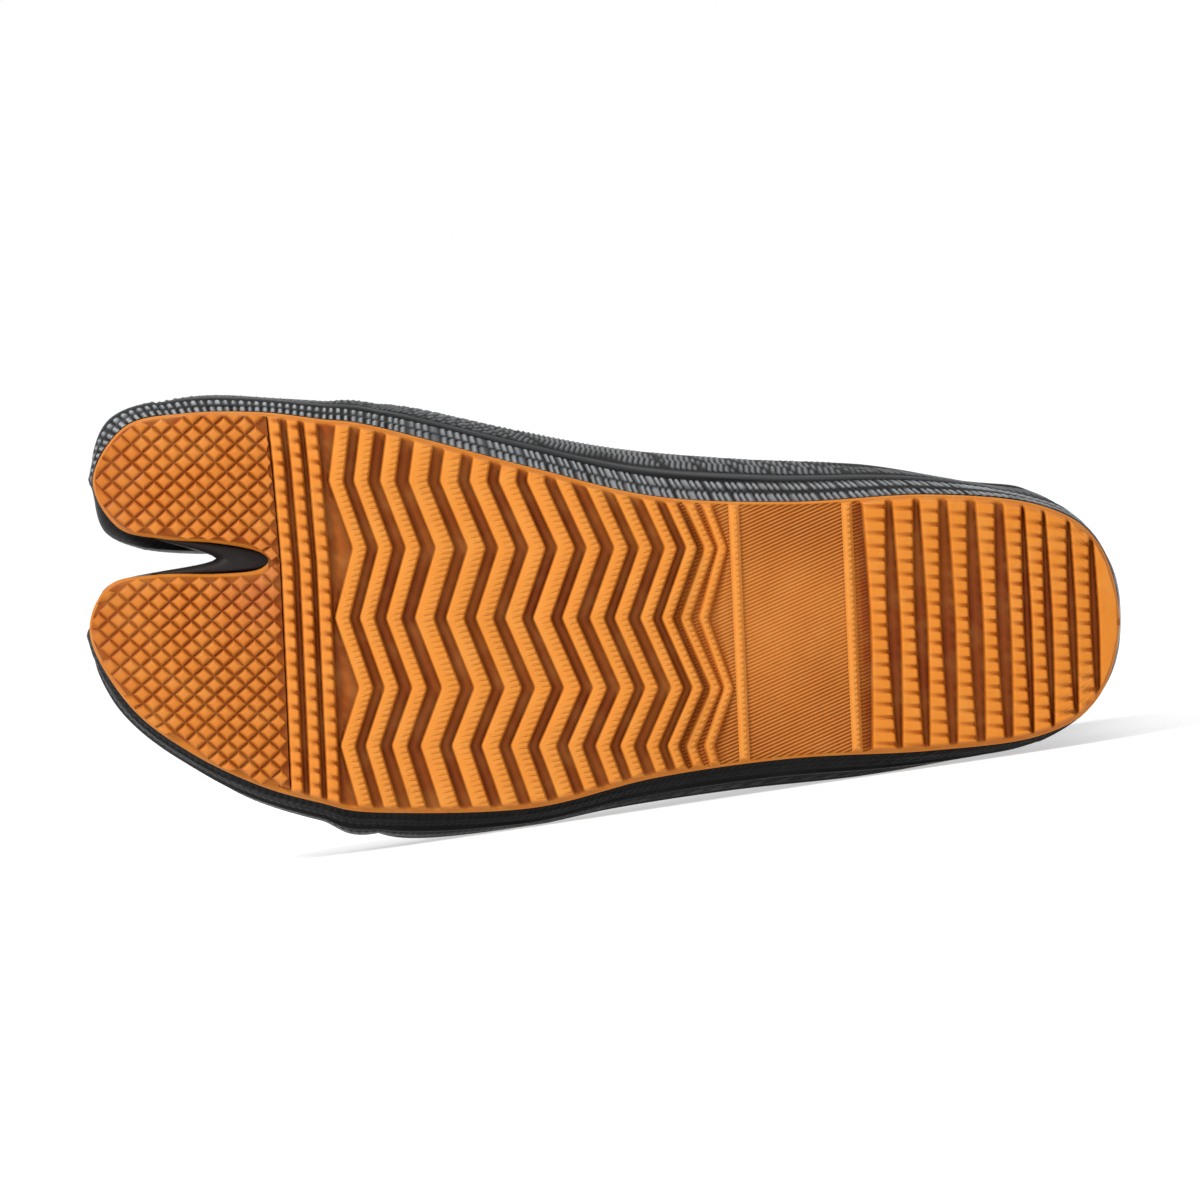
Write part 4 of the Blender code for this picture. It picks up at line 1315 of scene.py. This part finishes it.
    def pad(self, name: str, outer: bool) -> bpy.types.Object:
        """A toe pad's floor: rows along x between the toe's two sides, with a rim that drops to the floor.

        Args:
            name: The piece's name.
            outer: True for the four toes' side.

        Returns:
            The linked object.
        """
        last = self.last
        lobe = self._lobe(outer, self.pad_margin)
        start = self.pads_from * last.sole_length
        end = min(lobe[0][0][-1], lobe[1][0][-1]) - 1e-5
        along = start + (end - start) * np.sin(np.linspace(0, math.pi / 2, 70))
        low, high = (side[:, None] for side in self._bounds(lobe, along))
        y = low + (high - low) * (1 - np.cos(np.linspace(0, math.pi, 40))) / 2
        back = self._pads_back(y)
        x = back + (along[:, None] - start) * (end - back) / (end - start)
        near = np.minimum(np.minimum(y - low, high - y), end - x)
        drop = 1 - smooth(near, 0.0, 0.0007)
        z = last.lug_height - self.pad_depth * (1 - drop) + last.rise(x)
        x, y, drop = (np.vstack([part[:1], part]) for part in (x, y, drop))
        z = np.vstack([last.lug_height + last.rise(x[:1]), z])
        points = np.stack([x, y, z], axis=2).reshape(-1, 3)
        faces = grid_quads(*y.shape)
        # The sunken pad floor takes the darker stud floor colour, partly the amber's own deeper tone and
        # partly painted shade; the rim takes the plate's colour.
        floor = linear(Zone.STUDS.value[0])
        tint = floor + (linear(Zone.PLATE.value[1]) - floor) * drop.reshape(-1, 1)
        uv = points[faces.ravel()][:, :2]
        return built(name, points, faces, uv, tint, np.zeros(len(points)), 60)

    def studs(self, name: str, outer: bool) -> bpy.types.Object:
        """The toe pad's studs: four-sided blunt pyramids on a diamond lattice, pressed in at the outline.

        Args:
            name: The piece's name.
            outer: True for the four toes' side.

        Returns:
            The linked object.
        """
        last = self.last
        lobe = self._lobe(outer, self.stud_margin)
        start = self.pads_from * last.sole_length
        end = min(lobe[0][0][-1], lobe[1][0][-1])
        rng = np.random.default_rng(7 if outer else 11)
        lattice = []
        for shift in (0.0, 0.5):
            x = start - 0.0032 + (np.arange(0, 22) + shift) * self.stud_along
            y = (np.arange(-14, 16) + shift) * self.stud_across + 0.0004
            x, y = np.meshgrid(x, y, indexing="ij")
            lattice.append(np.stack([x.ravel() + y.ravel() * self.slant, y.ravel()], axis=1))
        centre = np.concatenate(lattice)
        x, y = centre.T
        low, high = self._bounds(lobe, x)
        # Only studs whose middles lie inside the toe, a few tenths of a millimetre off its edges.
        keep = (x < end - 0.0006) & (y > low + 0.0002) & (y < high - 0.0002)
        centre = centre[keep & (x > self._pads_back(y) + 0.0004)]
        turn = np.arange(4) * math.pi / 2
        fade = 1 - 0.45 * smooth(np.minimum(end - centre[:, 0], 0.03), 0.03, 0.0)[:, None]
        rings = []
        for size, up in ((0.93, 0.0), (0.86, 0.35), (0.56, 0.86), (0.40, 0.97)):
            jitter = 1 + rng.normal(0, 0.035, (len(centre), 4))
            x = centre[:, :1] + np.cos(turn) * self.stud_along / 2 * size * jitter
            y = centre[:, 1:] + np.sin(turn) * self.stud_across / 2 * size * jitter
            rings.append(np.stack([x, y, np.broadcast_to(up * fade, x.shape)], axis=2))
        tip = np.concatenate([centre, fade], axis=1)[:, None]
        cloud = np.concatenate([*rings, tip], axis=1)
        x, y, up = cloud[..., 0], cloud[..., 1], cloud[..., 2]
        x = np.clip(x, self._pads_back(y) + 0.0001, end)
        y = np.clip(y, *self._bounds(lobe, x))
        z = last.lug_height - self.stud_floor - up * self.stud_height + last.rise(x)
        points = np.stack([x, y, z], axis=2).reshape(-1, 3)
        number = np.arange(16).reshape(4, 4)
        quad = ring_quads(number)
        fan = np.stack([number[3], np.roll(number[3], -1), np.full(4, 16)], axis=1)
        stud = np.concatenate([quad[:, [0, 1, 2]], quad[:, [0, 2, 3]], fan])
        faces = (np.arange(len(centre))[:, None, None] * 17 + stud).reshape(-1, 3)
        faces = facing_down(points, faces)
        # Each stud darkens from its top down to its foot, by height: partly the amber's own deeper tone,
        # partly painted shade.
        floor, top = (linear(colour) for colour in Zone.STUDS.value)
        tint = floor + (top - floor) * smooth(up.ravel(), -0.1, 0.8)[:, None]
        away = ((points[:, :2] - self.worn_spot) ** 2).sum(axis=1, keepdims=True)
        red = 0.45 * np.exp(-away / self.worn_radius**2)
        tint = tint * (1 - red) + linear((176, 92, 66)) * red
        uv = points[faces.ravel()][:, :2]
        return built(name, points, faces, uv, tint, up.ravel(), 28)

    def build(self) -> list[bpy.types.Object]:
        """Builds and dresses the sole.

        Returns:
            Its pieces.
        """
        plain, treaded = AmberRubber().make(), AmberRubber(name="amber_gum_tread").make(treaded=True)
        pieces = [self.plate(), self.pad("outer_toe_pad", True), self.pad("big_toe_pad", False)]
        pieces += [self.studs("outer_toe_studs", True), self.studs("big_toe_studs", False)]
        for piece in pieces:
            piece.data.materials.append(plain)
        tread = self.tread()
        tread.data.materials.append(treaded)
        return pieces + [tread]


@dataclass
class Foxing:
    """The black rubber band round the foot, with beads, knurled rows and the arch's herringbone strip.

    knurled, upper_knurl and strip are pairs of heights up the band, and the strip's diagonals turn at
    strip_fold. Each bead has its height, its half width and its share of the relief.
    """

    last: Last
    thickness: float = 0.0016
    notch_share: float = 0.45
    recess: float = 0.0003
    body_steps: int = 44
    toe_steps: int = 34
    rows: int = 22
    relief: float = 0.00055
    strip_relief: float = 0.00050
    knurl_pitch: float = 0.0019
    strip_pitch: float = 0.0015
    knurled: tuple[tuple[float, float], ...] = ((0.0004, 0.0020), (0.0027, 0.0043))
    upper_knurl: tuple[float, float] = (0.0071, 0.0100)
    strip: tuple[float, float] = (0.0068, 0.0120)
    strip_fold: float = 0.0093
    beads: tuple[Triple, ...] = ((0.0056, 0.0007, 1.0), (0.0115, 0.0006, 0.8), (0.00235, 0.0003, 0.7))
    toe_guard: float = 0.0004
    web_middle: Triple = (0.2225, 0.0160, 0.0135)
    web_half: Triple = (0.0115, 0.004816, 0.0062)
    web_fork: float = 0.0270

    def build(self) -> list[bpy.types.Object]:
        """Builds and dresses the band, whose tint carries painted highlights, and the web in the notch.

        Outer distance = gap + thickness share + knurl (cos of the distance round the foot) on bands of height
        + round beads + crossing diagonals on the arch's strip.

        Returns:
            Both pieces.
        """
        last = self.last
        sections = Sections(last, self.body_steps, self.toe_steps)
        skin = Skin(sections.walls(self.rows, 8))
        tips = len(OUTER_BODY) + len(OUTER_TOES) - 1
        inside = np.minimum(sections.at - tips, tips + 2 * len(OUTER_TOES) - sections.at)
        share = 1 - (1 - self.notch_share) * smooth(inside, -2.5, 2.5)
        edge = skin.grid[:, 0]
        round_foot = walked(edge)[:, None]
        up = skin.distance[..., 1]
        total = np.maximum(up[:, self.rows : self.rows + 1], 1e-6)
        h = up / total * last.foxing_height
        knurl = smooth(0.5 + 0.5 * np.cos(2 * math.pi * round_foot / self.knurl_pitch), 0.15, 0.75)

        def band(low: float, high: float) -> np.ndarray:
            """1 between two heights, soft at both."""
            soft = 0.0002
            return smooth(h, low - soft, low + soft) * (1 - smooth(h, high - soft, high + soft))

        def bead(middle: float, half: float, part: float) -> np.ndarray:
            """A round bead: a part of the root of 1 - (distance / half)^2."""
            return part * np.sqrt(np.clip(1 - ((h - middle) / half) ** 2, 0, 1))

        # The strip runs along the inner arch only, and the guard covers the big toe's tip.
        x, y = edge[:, 0:1], edge[:, 1:2]
        notch = smooth(inside, -0.3, 0.6)[:, None]
        arch = smooth(x, 0.045, 0.07) * (1 - smooth(x, 0.185, 0.215)) * (y > 0) * (1 - notch)
        inner = (y > 0.0) * (1 - notch)
        diagonal = np.sin(2 * math.pi * (round_foot + np.abs(h - self.strip_fold) * 1.3) / self.strip_pitch)
        strip = smooth(diagonal, -0.3, 0.6) * band(*self.strip) * arch
        knurls = knurl * sum(band(*pair) for pair in self.knurled)
        knurls = knurls + 0.8 * knurl * band(*self.upper_knurl) * (1 - arch)
        middle, upper, thin = (bead(*row) for row in self.beads)
        beads = middle + upper * (1 - arch) + thin
        wear = 1 - 0.55 * (1 - inner)
        relief = self.relief * (knurls * wear + beads) + self.strip_relief * strip
        relief = relief * np.where(x < 0.05, smooth(np.abs(y), 0.0005, 0.0050), 1.0)
        guard = smooth(x, 0.2465, 0.2470) * (y > 0.02) * self.toe_guard
        base = last.gap + self.thickness * share[:, None] - self.recess
        over = base + (relief + guard) * (1 - 0.8 * notch)
        # Painted highlights: pale grey on the tops of knurls, beads and the strip over the black rubber,
        # dimmed to a quarter as painted shade on the outer side and in the notch.
        pale, dark = linear((214, 218, 222)), linear((8, 7, 7))
        painted_highlight = (0.75 * knurls + 0.45 * beads + 0.65 * strip) * (0.25 + 0.75 * inner)
        tint = dark + (pale - dark) * (np.clip(painted_highlight, 0, 1) ** 3.0)[..., None] * 0.85
        seam = (len(BACK_SEAM) - 1) * sections.body_steps
        lines, rows = slice(seam, sections.count - seam), slice(0, self.rows + 1)
        piece = sheet_between("foxing_band", skin, lines, rows, last.gap, over[lines, rows], last, tint)
        piece.data.materials.append(BlackRubber().make())
        return [piece, self.web(piece.data.materials[0])]

    def web(self, finish: bpy.types.Material) -> bpy.types.Object:
        """The black web at the root of the notch: a superellipsoid, forked towards the toes along both walls.

        Args:
            finish: The rubber's material.

        Returns:
            The linked object.
        """
        turn, lift = np.linspace(-math.pi, math.pi, 49), np.linspace(-math.pi / 2, math.pi / 2, 25)
        u, v = np.meshgrid(turn, lift, indexing="ij")
        power, lean = 0.6, 0.04
        out = signed_power(np.cos(v), power)
        fork = self.web_fork * np.abs(np.cos(v) * np.sin(u)) ** 1.6
        x = self.web_middle[0] + self.web_half[0] * out * np.cos(u) + fork
        y = self.web_middle[1] + self.web_half[1] * out * np.sin(u) + lean * (x - self.web_middle[0])
        z = self.web_middle[2] + self.web_half[2] * signed_power(np.sin(v), power)
        flat = np.round(np.stack([x, y, z], axis=2).reshape(-1, 3), 7)
        points, number = np.unique(flat, axis=0, return_inverse=True)
        faces, places = quad_triangles(number.reshape(u.shape))
        uv = np.stack([u, v], axis=2).reshape(-1, 2) * 0.005
        tint = np.broadcast_to(linear((40, 36, 36)), points.shape)
        piece = built("crotch_web", points, faces, uv[places.ravel()], tint)
        piece.data.materials.append(finish)
        return piece


@dataclass
class Stitching:
    """Rows of sewn stitches: short arched prisms laid along a path."""

    pitch: float = 0.0030
    length: float = 0.0023
    radius: float = 0.00028

    def row(self, path: np.ndarray, normals: np.ndarray) -> tuple[np.ndarray, np.ndarray]:
        """Points and faces of one row: five rings of four points for each stitch, arched like a half sine.

        Args:
            path: Points along the seam.
            normals: Outward normals there.

        Returns:
            Points and quads.
        """
        step = walked(path)
        start = np.arange(self.pitch / 2, max(step[-1] - self.length, self.pitch), self.pitch)
        share = np.linspace(0, 1, 5)
        at = start[:, None] + share * self.length
        spot = np.stack([np.interp(at, step, path[:, k]) for k in range(3)], axis=2)
        out = np.stack([np.interp(at, step, normals[:, k]) for k in range(3)], axis=2)
        out /= np.linalg.norm(out, axis=2)[..., None]
        along = np.gradient(spot, axis=1)
        along /= np.maximum(np.linalg.norm(along, axis=2), 1e-9)[..., None]
        side = np.cross(along, out)
        lift = (np.sin(share * math.pi) ** 0.5 * self.radius * 0.9 - self.radius * 0.35)[None, :, None]
        thick = (self.radius * (0.45 + 0.55 * np.sin(share * math.pi)))[None, :, None]
        middle, side, out = spot + out * lift, side * thick, out * thick
        points = np.stack([middle + side, middle + out, middle - side, middle - out], axis=2).reshape(-1, 3)
        number = np.arange(20).reshape(5, 4)
        stitch = np.concatenate([ring_quads(number), number[:1, ::-1], number[-1:]])
        return points, (np.arange(len(start))[:, None, None] * 20 + stitch).reshape(-1, 4)

    def build(
        self, name: str, rows: list[tuple[np.ndarray, np.ndarray]], finish: bpy.types.Material
    ) -> bpy.types.Object:
        """Joins several rows into one piece.

        Args:
            name: The piece's name.
            rows: Path and normals of each row.
            finish: The thread's material.

        Returns:
            The linked object.
        """
        points, faces, count = [], [], 0
        for path, normals in rows:
            made, quads = self.row(path, normals)
            points.append(made)
            faces.append(quads + count)
            count += len(made)
        piece = built(name, np.vstack(points), np.vstack(faces))
        piece.data.materials.append(finish)
        return piece


@dataclass
class Shaft:
    """The canvas upper with its collar hem, back stay, closure flap and stitching."""

    last: Last
    wall: float = 0.0018
    flap_thickness: float = 0.0014
    stay_thickness: float = 0.0010
    crease: float = 0.00035
    hem_height: float = 0.0052
    hem_drop: float = 0.0016
    steps: int = 16
    toe_steps: int = 12
    rows: int = 40
    low: int = 6
    flap_from: int = 15
    flap_rows: int = 16

    @property
    def reach(self) -> int:
        """Lines that the flap and the stay cover, from the collar down."""
        return int(3.5 * self.steps)

    def __post_init__(self) -> None:
        """Works out the fine skin that every cloth piece follows."""
        self.sections = Sections(self.last, self.steps, self.toe_steps)
        self.skin = Skin(self.sections.walls(self.low, self.rows))

    def _creased(self) -> np.ndarray:
        """Outward waves of the cloth: products of sines, strongest over the instep, nought at the edges.

        Returns:
            Distance at each place of the skin.
        """
        x, y, z = (self.skin.grid[..., k] for k in range(3))
        wave = np.sin(92 * x + 60 * z + 1.3 * np.sin(40 * y)) * np.sin(75 * z - 50 * y + 0.7)
        wave += 0.6 * np.sin(190 * z + 55 * x + 2 * np.sin(60 * x))
        row = np.arange(wave.shape[1])[None, :]
        line = np.arange(len(x))[:, None]
        ends = smooth(np.minimum(line, len(x) - 1 - line), 4, 14)
        return self.crease * wave * smooth(row, self.low + 2, self.low + 12) * ends

    def upper(self) -> bpy.types.Object:
        """The canvas wall, with creases pressed into its outer face.

        Returns:
            The linked object.
        """
        lines, rows = slice(0, self.sections.count), slice(0, self.low + self.rows + 1)
        over = np.minimum(self._creased(), 0.0)
        piece = sheet_between("canvas_upper", self.skin, lines, rows, -self.wall, over, self.last)
        piece.data.materials.append(WovenCloth("black_canvas_cloth", (0.016, 0.016, 0.018)).make())
        return piece

    def _lifted(
        self, lines: np.ndarray | int, rows: np.ndarray | int, distance: float
    ) -> tuple[np.ndarray, np.ndarray]:
        """A path on the skin lifted along its normals.

        Args:
            lines: Line of each point, or of all.
            rows: Row of each point, or of all.
            distance: How far outwards.

        Returns:
            Points and normals.
        """
        normal = self.skin.normals[lines, rows]
        return self.skin.grid[lines, rows] + normal * distance, normal

    def flap(self) -> bpy.types.Object:
        """The closure's outer flap, thinned towards its hemmed edges.

        Returns:
            The linked object.
        """
        count, first = self.sections.count, self.low + self.flap_from
        lines, rows = slice(count - 1 - self.reach, count), slice(first, first + self.flap_rows)
        i, j = np.arange(self.reach + 1)[:, None], np.arange(self.flap_rows)[None, :]
        edge = np.minimum(np.minimum(j, self.flap_rows - 1 - j), np.minimum(i, self.reach - i))
        share = 0.80 + 0.20 * smooth(edge, 0, 1.5) - 0.10 * smooth(edge, 1.5, 3)
        over = self.last.gap + self.flap_thickness * share
        piece = sheet_between("shaft_flap", self.skin, lines, rows, self.last.gap, over, self.last)
        piece.data.materials.append(WovenCloth("flap_canvas_cloth", (0.017, 0.017, 0.019)).make())
        return piece

    def back_stay(self) -> bpy.types.Object:
        """The tape over the back seam: a strip that runs over it from one side to the other.

        Returns:
            The linked object.
        """
        lines, rows = self.reach + 1, slice(self.low, self.low + 6)

        def strip(values: np.ndarray) -> np.ndarray:
            """Rows on both sides of the seam put together, in the order that faces outwards."""
            first, second = values[:lines, rows][:, ::-1], values[-lines:, rows][::-1]
            return np.concatenate([first, second[:, 1:]], axis=1)[:, ::-1]

        skin = Skin(strip(self.skin.grid))
        skin.normals = strip(self.skin.normals)
        width = skin.grid.shape[1]
        column = np.minimum(np.arange(width), width - 1 - np.arange(width))[None, :]
        over = self.last.gap + self.stay_thickness * (0.75 + 0.25 * smooth(column, 0, 1.5))
        piece = sheet_between(
            "heel_stay", skin, slice(0, lines), slice(0, width), self.last.gap, over, self.last
        )
        piece.data.materials.append(WovenCloth("stay_tape", (0.034, 0.034, 0.037), pitch=0.0005).make())
        return piece

    def hem(self) -> bpy.types.Object:
        """The collar's bound edge: a tube of superelliptic section carried round the collar's rim.

        Returns:
            The linked object.
        """
        rim, out = (
            np.vstack([part[0, self.low :], part[-1, self.low :][::-1][1:-1]])
            for part in (self.skin.grid, self.skin.normals)
        )
        out[:, 2] = 0
        out /= np.maximum(np.linalg.norm(out, axis=1), 1e-9)[:, None]
        middle = rim - out * self.wall / 2 + (0, 0, -self.hem_drop)
        turn = np.linspace(0, 2 * math.pi, 17)[:-1]
        wide = signed_power(np.cos(turn), 0.8) * (self.wall / 2 + 0.0007)
        tall = signed_power(np.sin(turn), 0.7) * self.hem_height / 2
        ring = middle[:, None] + out[:, None] * wide[:, None] + np.array([0, 0, 1.0]) * tall[:, None]
        count, sides = ring.shape[:2]
        number = np.arange(count * sides).reshape(count, sides)
        faces = ring_quads(np.vstack([number, number[:1]]))
        points = ring.reshape(-1, 3)
        uv = np.stack(np.broadcast_arrays(walked(middle)[:, None], turn * 0.002), axis=2).reshape(-1, 2)
        centre = np.repeat(middle, sides, axis=0)[faces[:, 0]]
        one, two, end = points[faces[:, 0]], points[faces[:, 1]], points[faces[:, 3]]
        outwards = ((points[faces].mean(axis=1) - centre) * np.cross(two - one, end - one)).sum(axis=1)
        if np.median(outwards) < 0:
            faces = faces[:, ::-1]
        piece = built("collar_hem", points, faces, uv[faces.ravel()])
        piece.data.materials.append(WovenCloth("hem_tape", (0.030, 0.030, 0.033), pitch=0.0005).make())
        return piece

    def seams(self) -> bpy.types.Object:
        """All stitch rows: round the collar, round the flap, along the stay, and the vamp's seam.

        Returns:
            The linked object.
        """
        count, low, last = self.sections.count, self.low, self.last
        top, flap = low + self.rows, low + self.flap_from
        on_cloth, on_flap, on_stay = 0.0002, last.gap + self.flap_thickness, last.gap + self.stay_thickness
        rows = []
        for line in (3, 5):
            rows.append(self._lifted(line, np.arange(low + 1, top), on_cloth))
            rows.append(self._lifted(count - 1 - line, np.arange(low + 1, flap), on_cloth))
        end, final = count - self.reach, flap + self.flap_rows - 1
        for row in (flap + 1, final - 1):
            rows.append(self._lifted(np.arange(end, count - 3), row, on_flap))
        for line in (end, count - 4):
            rows.append(self._lifted(line, np.arange(flap + 1, final), on_flap))
        stay = np.arange(2, self.reach)
        for side in (stay, count - 1 - stay):
            rows.append(self._lifted(side, low + 4, on_stay))
        vamp = self.sections.first_sole_line + int(4.5 * self.steps)
        for line in (vamp, vamp + 2, count - vamp, count - vamp + 2):
            rows.append(self._lifted(line, np.arange(low + 2, top - 1), on_cloth))
        return Stitching().build("stitching", rows, Thread().make())

    def build(self) -> list[bpy.types.Object]:
        """Builds every cloth piece."""
        return [self.upper(), self.flap(), self.back_stay(), self.hem(), self.seams()]


@dataclass
class Studio:
    """Pale floor, soft lights and the camera square to the sole.

    frame_width is what the picture spans at the sole. Each lamp is a square: its place, its side in metres
    and its power in watts.
    """

    distance: float = 2.5
    frame_width: float = 0.3096
    target: Triple = (0.1344, 0.0057, 0.0)
    aim: Triple = (0.0, -0.03, 0.06)
    key: tuple[Triple, float, float] = ((-1.2, -1.0, 1.5), 0.45, 34.0)
    top: tuple[Triple, float, float] = ((0.1, 0.3, 1.8), 1.2, 6.0)

    def floor(self) -> bpy.types.Object:
        """The pale floor: a level disc whose far edge melts into the white world; radii grow as squares.

        Returns:
            The linked object.
        """
        rings, sides, reach = 24, 64, 60.0
        turn = np.linspace(0, 2 * math.pi, sides + 1)[:-1]
        radius = reach * np.linspace(0, 1, rings + 1)[1:] ** 2
        flat = [np.outer(radius, np.cos(turn)), np.outer(radius, np.sin(turn)), np.zeros((rings, sides))]
        points = np.vstack([np.zeros((1, 3)), np.stack(flat, axis=2).reshape(-1, 3)])
        number = 1 + np.arange(rings * sides).reshape(rings, sides)
        hub = np.stack([np.zeros(sides, int), number[0], np.roll(number[0], -1)], axis=1)
        mesh = bpy.data.meshes.new("floor")
        mesh.from_pydata(points.tolist(), [], hub.tolist() + ring_quads(number)[:, ::-1].tolist())
        obj = bpy.data.objects.new("floor", mesh)
        bpy.context.scene.collection.objects.link(obj)
        g = Graph("pale_paper")
        g.set(Base_Color=(0.5, 0.5, 0.5, 1.0), Roughness=0.95, Specular_IOR_Level=0.1)
        g.set(Emission_Color=(1.0, 1.0, 1.0, 1.0), Emission_Strength=0.52)
        mesh.materials.append(g.material)
        return obj

    def lights(self) -> None:
        """A key from the upper left of the view, a top light and a bright even world."""
        world = bpy.data.worlds.new("soft_sky")
        world.use_nodes = True
        background = world.node_tree.nodes["Background"]
        background.inputs["Color"].default_value = (1.0, 1.0, 1.0, 1.0)
        background.inputs["Strength"].default_value = 1.0
        bpy.context.scene.world = world
        for name, (place, size, power) in (("key", self.key), ("top", self.top)):
            lamp = bpy.data.lights.new(name, "AREA")
            lamp.shape, lamp.size, lamp.energy = "SQUARE", size, power
            obj = bpy.data.objects.new(name, lamp)
            bpy.context.scene.collection.objects.link(obj)
            turn = (Vector(self.aim) - Vector(place)).to_track_quat("-Z", "Y")
            obj.matrix_world = Matrix.Translation(place) @ turn.to_matrix().to_4x4()

    def camera(self) -> None:
        """The camera: along the sole's outward normal, rolled so that the shoe's length is level."""
        turn = LYING[:, :3]
        right, up, back = -turn[:, 0], turn[:, 1], -turn[:, 2]
        spot = to_world(np.array([self.target]))[0] + back * self.distance
        data = bpy.data.cameras.new("camera")
        data.sensor_width = 36.0
        data.lens = data.sensor_width * self.distance / self.frame_width
        data.clip_end = 50.0
        obj = bpy.data.objects.new("camera", data)
        bpy.context.scene.collection.objects.link(obj)
        matrix = np.eye(4)
        matrix[:3, :3] = np.stack([right, up, back], axis=1)
        matrix[:3, 3] = spot
        obj.matrix_world = Matrix(matrix.tolist())
        bpy.context.scene.camera = obj

    def build(self) -> bpy.types.Object:
        """Sets the whole studio up.

        Returns:
            The floor.
        """
        self.lights()
        self.camera()
        bpy.context.scene.view_settings.view_transform = "Standard"
        return self.floor()


def dress(node: str, finish: bpy.types.Material) -> None:
    """Gives a CAD node that stays its finish.

    Args:
        node: The node's name.
        finish: Its material.
    """
    obj = bpy.data.objects[node]
    if not obj.material_slots:
        obj.data.materials.append(finish)
    for slot in obj.material_slots:
        slot.material = finish


def main() -> None:
    """Builds the pieces in order and reports each one."""
    logging.basicConfig(level=logging.INFO, format="%(name)s: %(message)s")
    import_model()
    last = Last()
    Studio().build()
    made = {
        "amber_rubber": Outsole(last).build(),
        "black_rubber": Foxing(last).build(),
        "black_canvas": Shaft(last).build(),
    }
    for slot, pieces in made.items():
        for piece in pieces:
            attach(piece, "root")
            LOG.info("%s: %d faces, finish %s", piece.name, len(piece.data.polygons), slot)
    stands_for = {
        "outsole_plate": "outsole",
        "foxing_band": "foxing",
        "canvas_upper": "upper",
        "shaft_flap": "closure_flap",
        "heel_stay": "back_stay",
    }
    for piece, node in stands_for.items():
        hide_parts(node)
    dress("insole", WovenCloth("insole_weave", (0.52, 0.49, 0.43), pitch=0.0009, fade=0.2).make())
    brass = PressedBrass().make()
    for index in range(HOOKS):
        dress(f"kohaze_{index + 1}", brass)


if __name__ == "__main__":
    main()
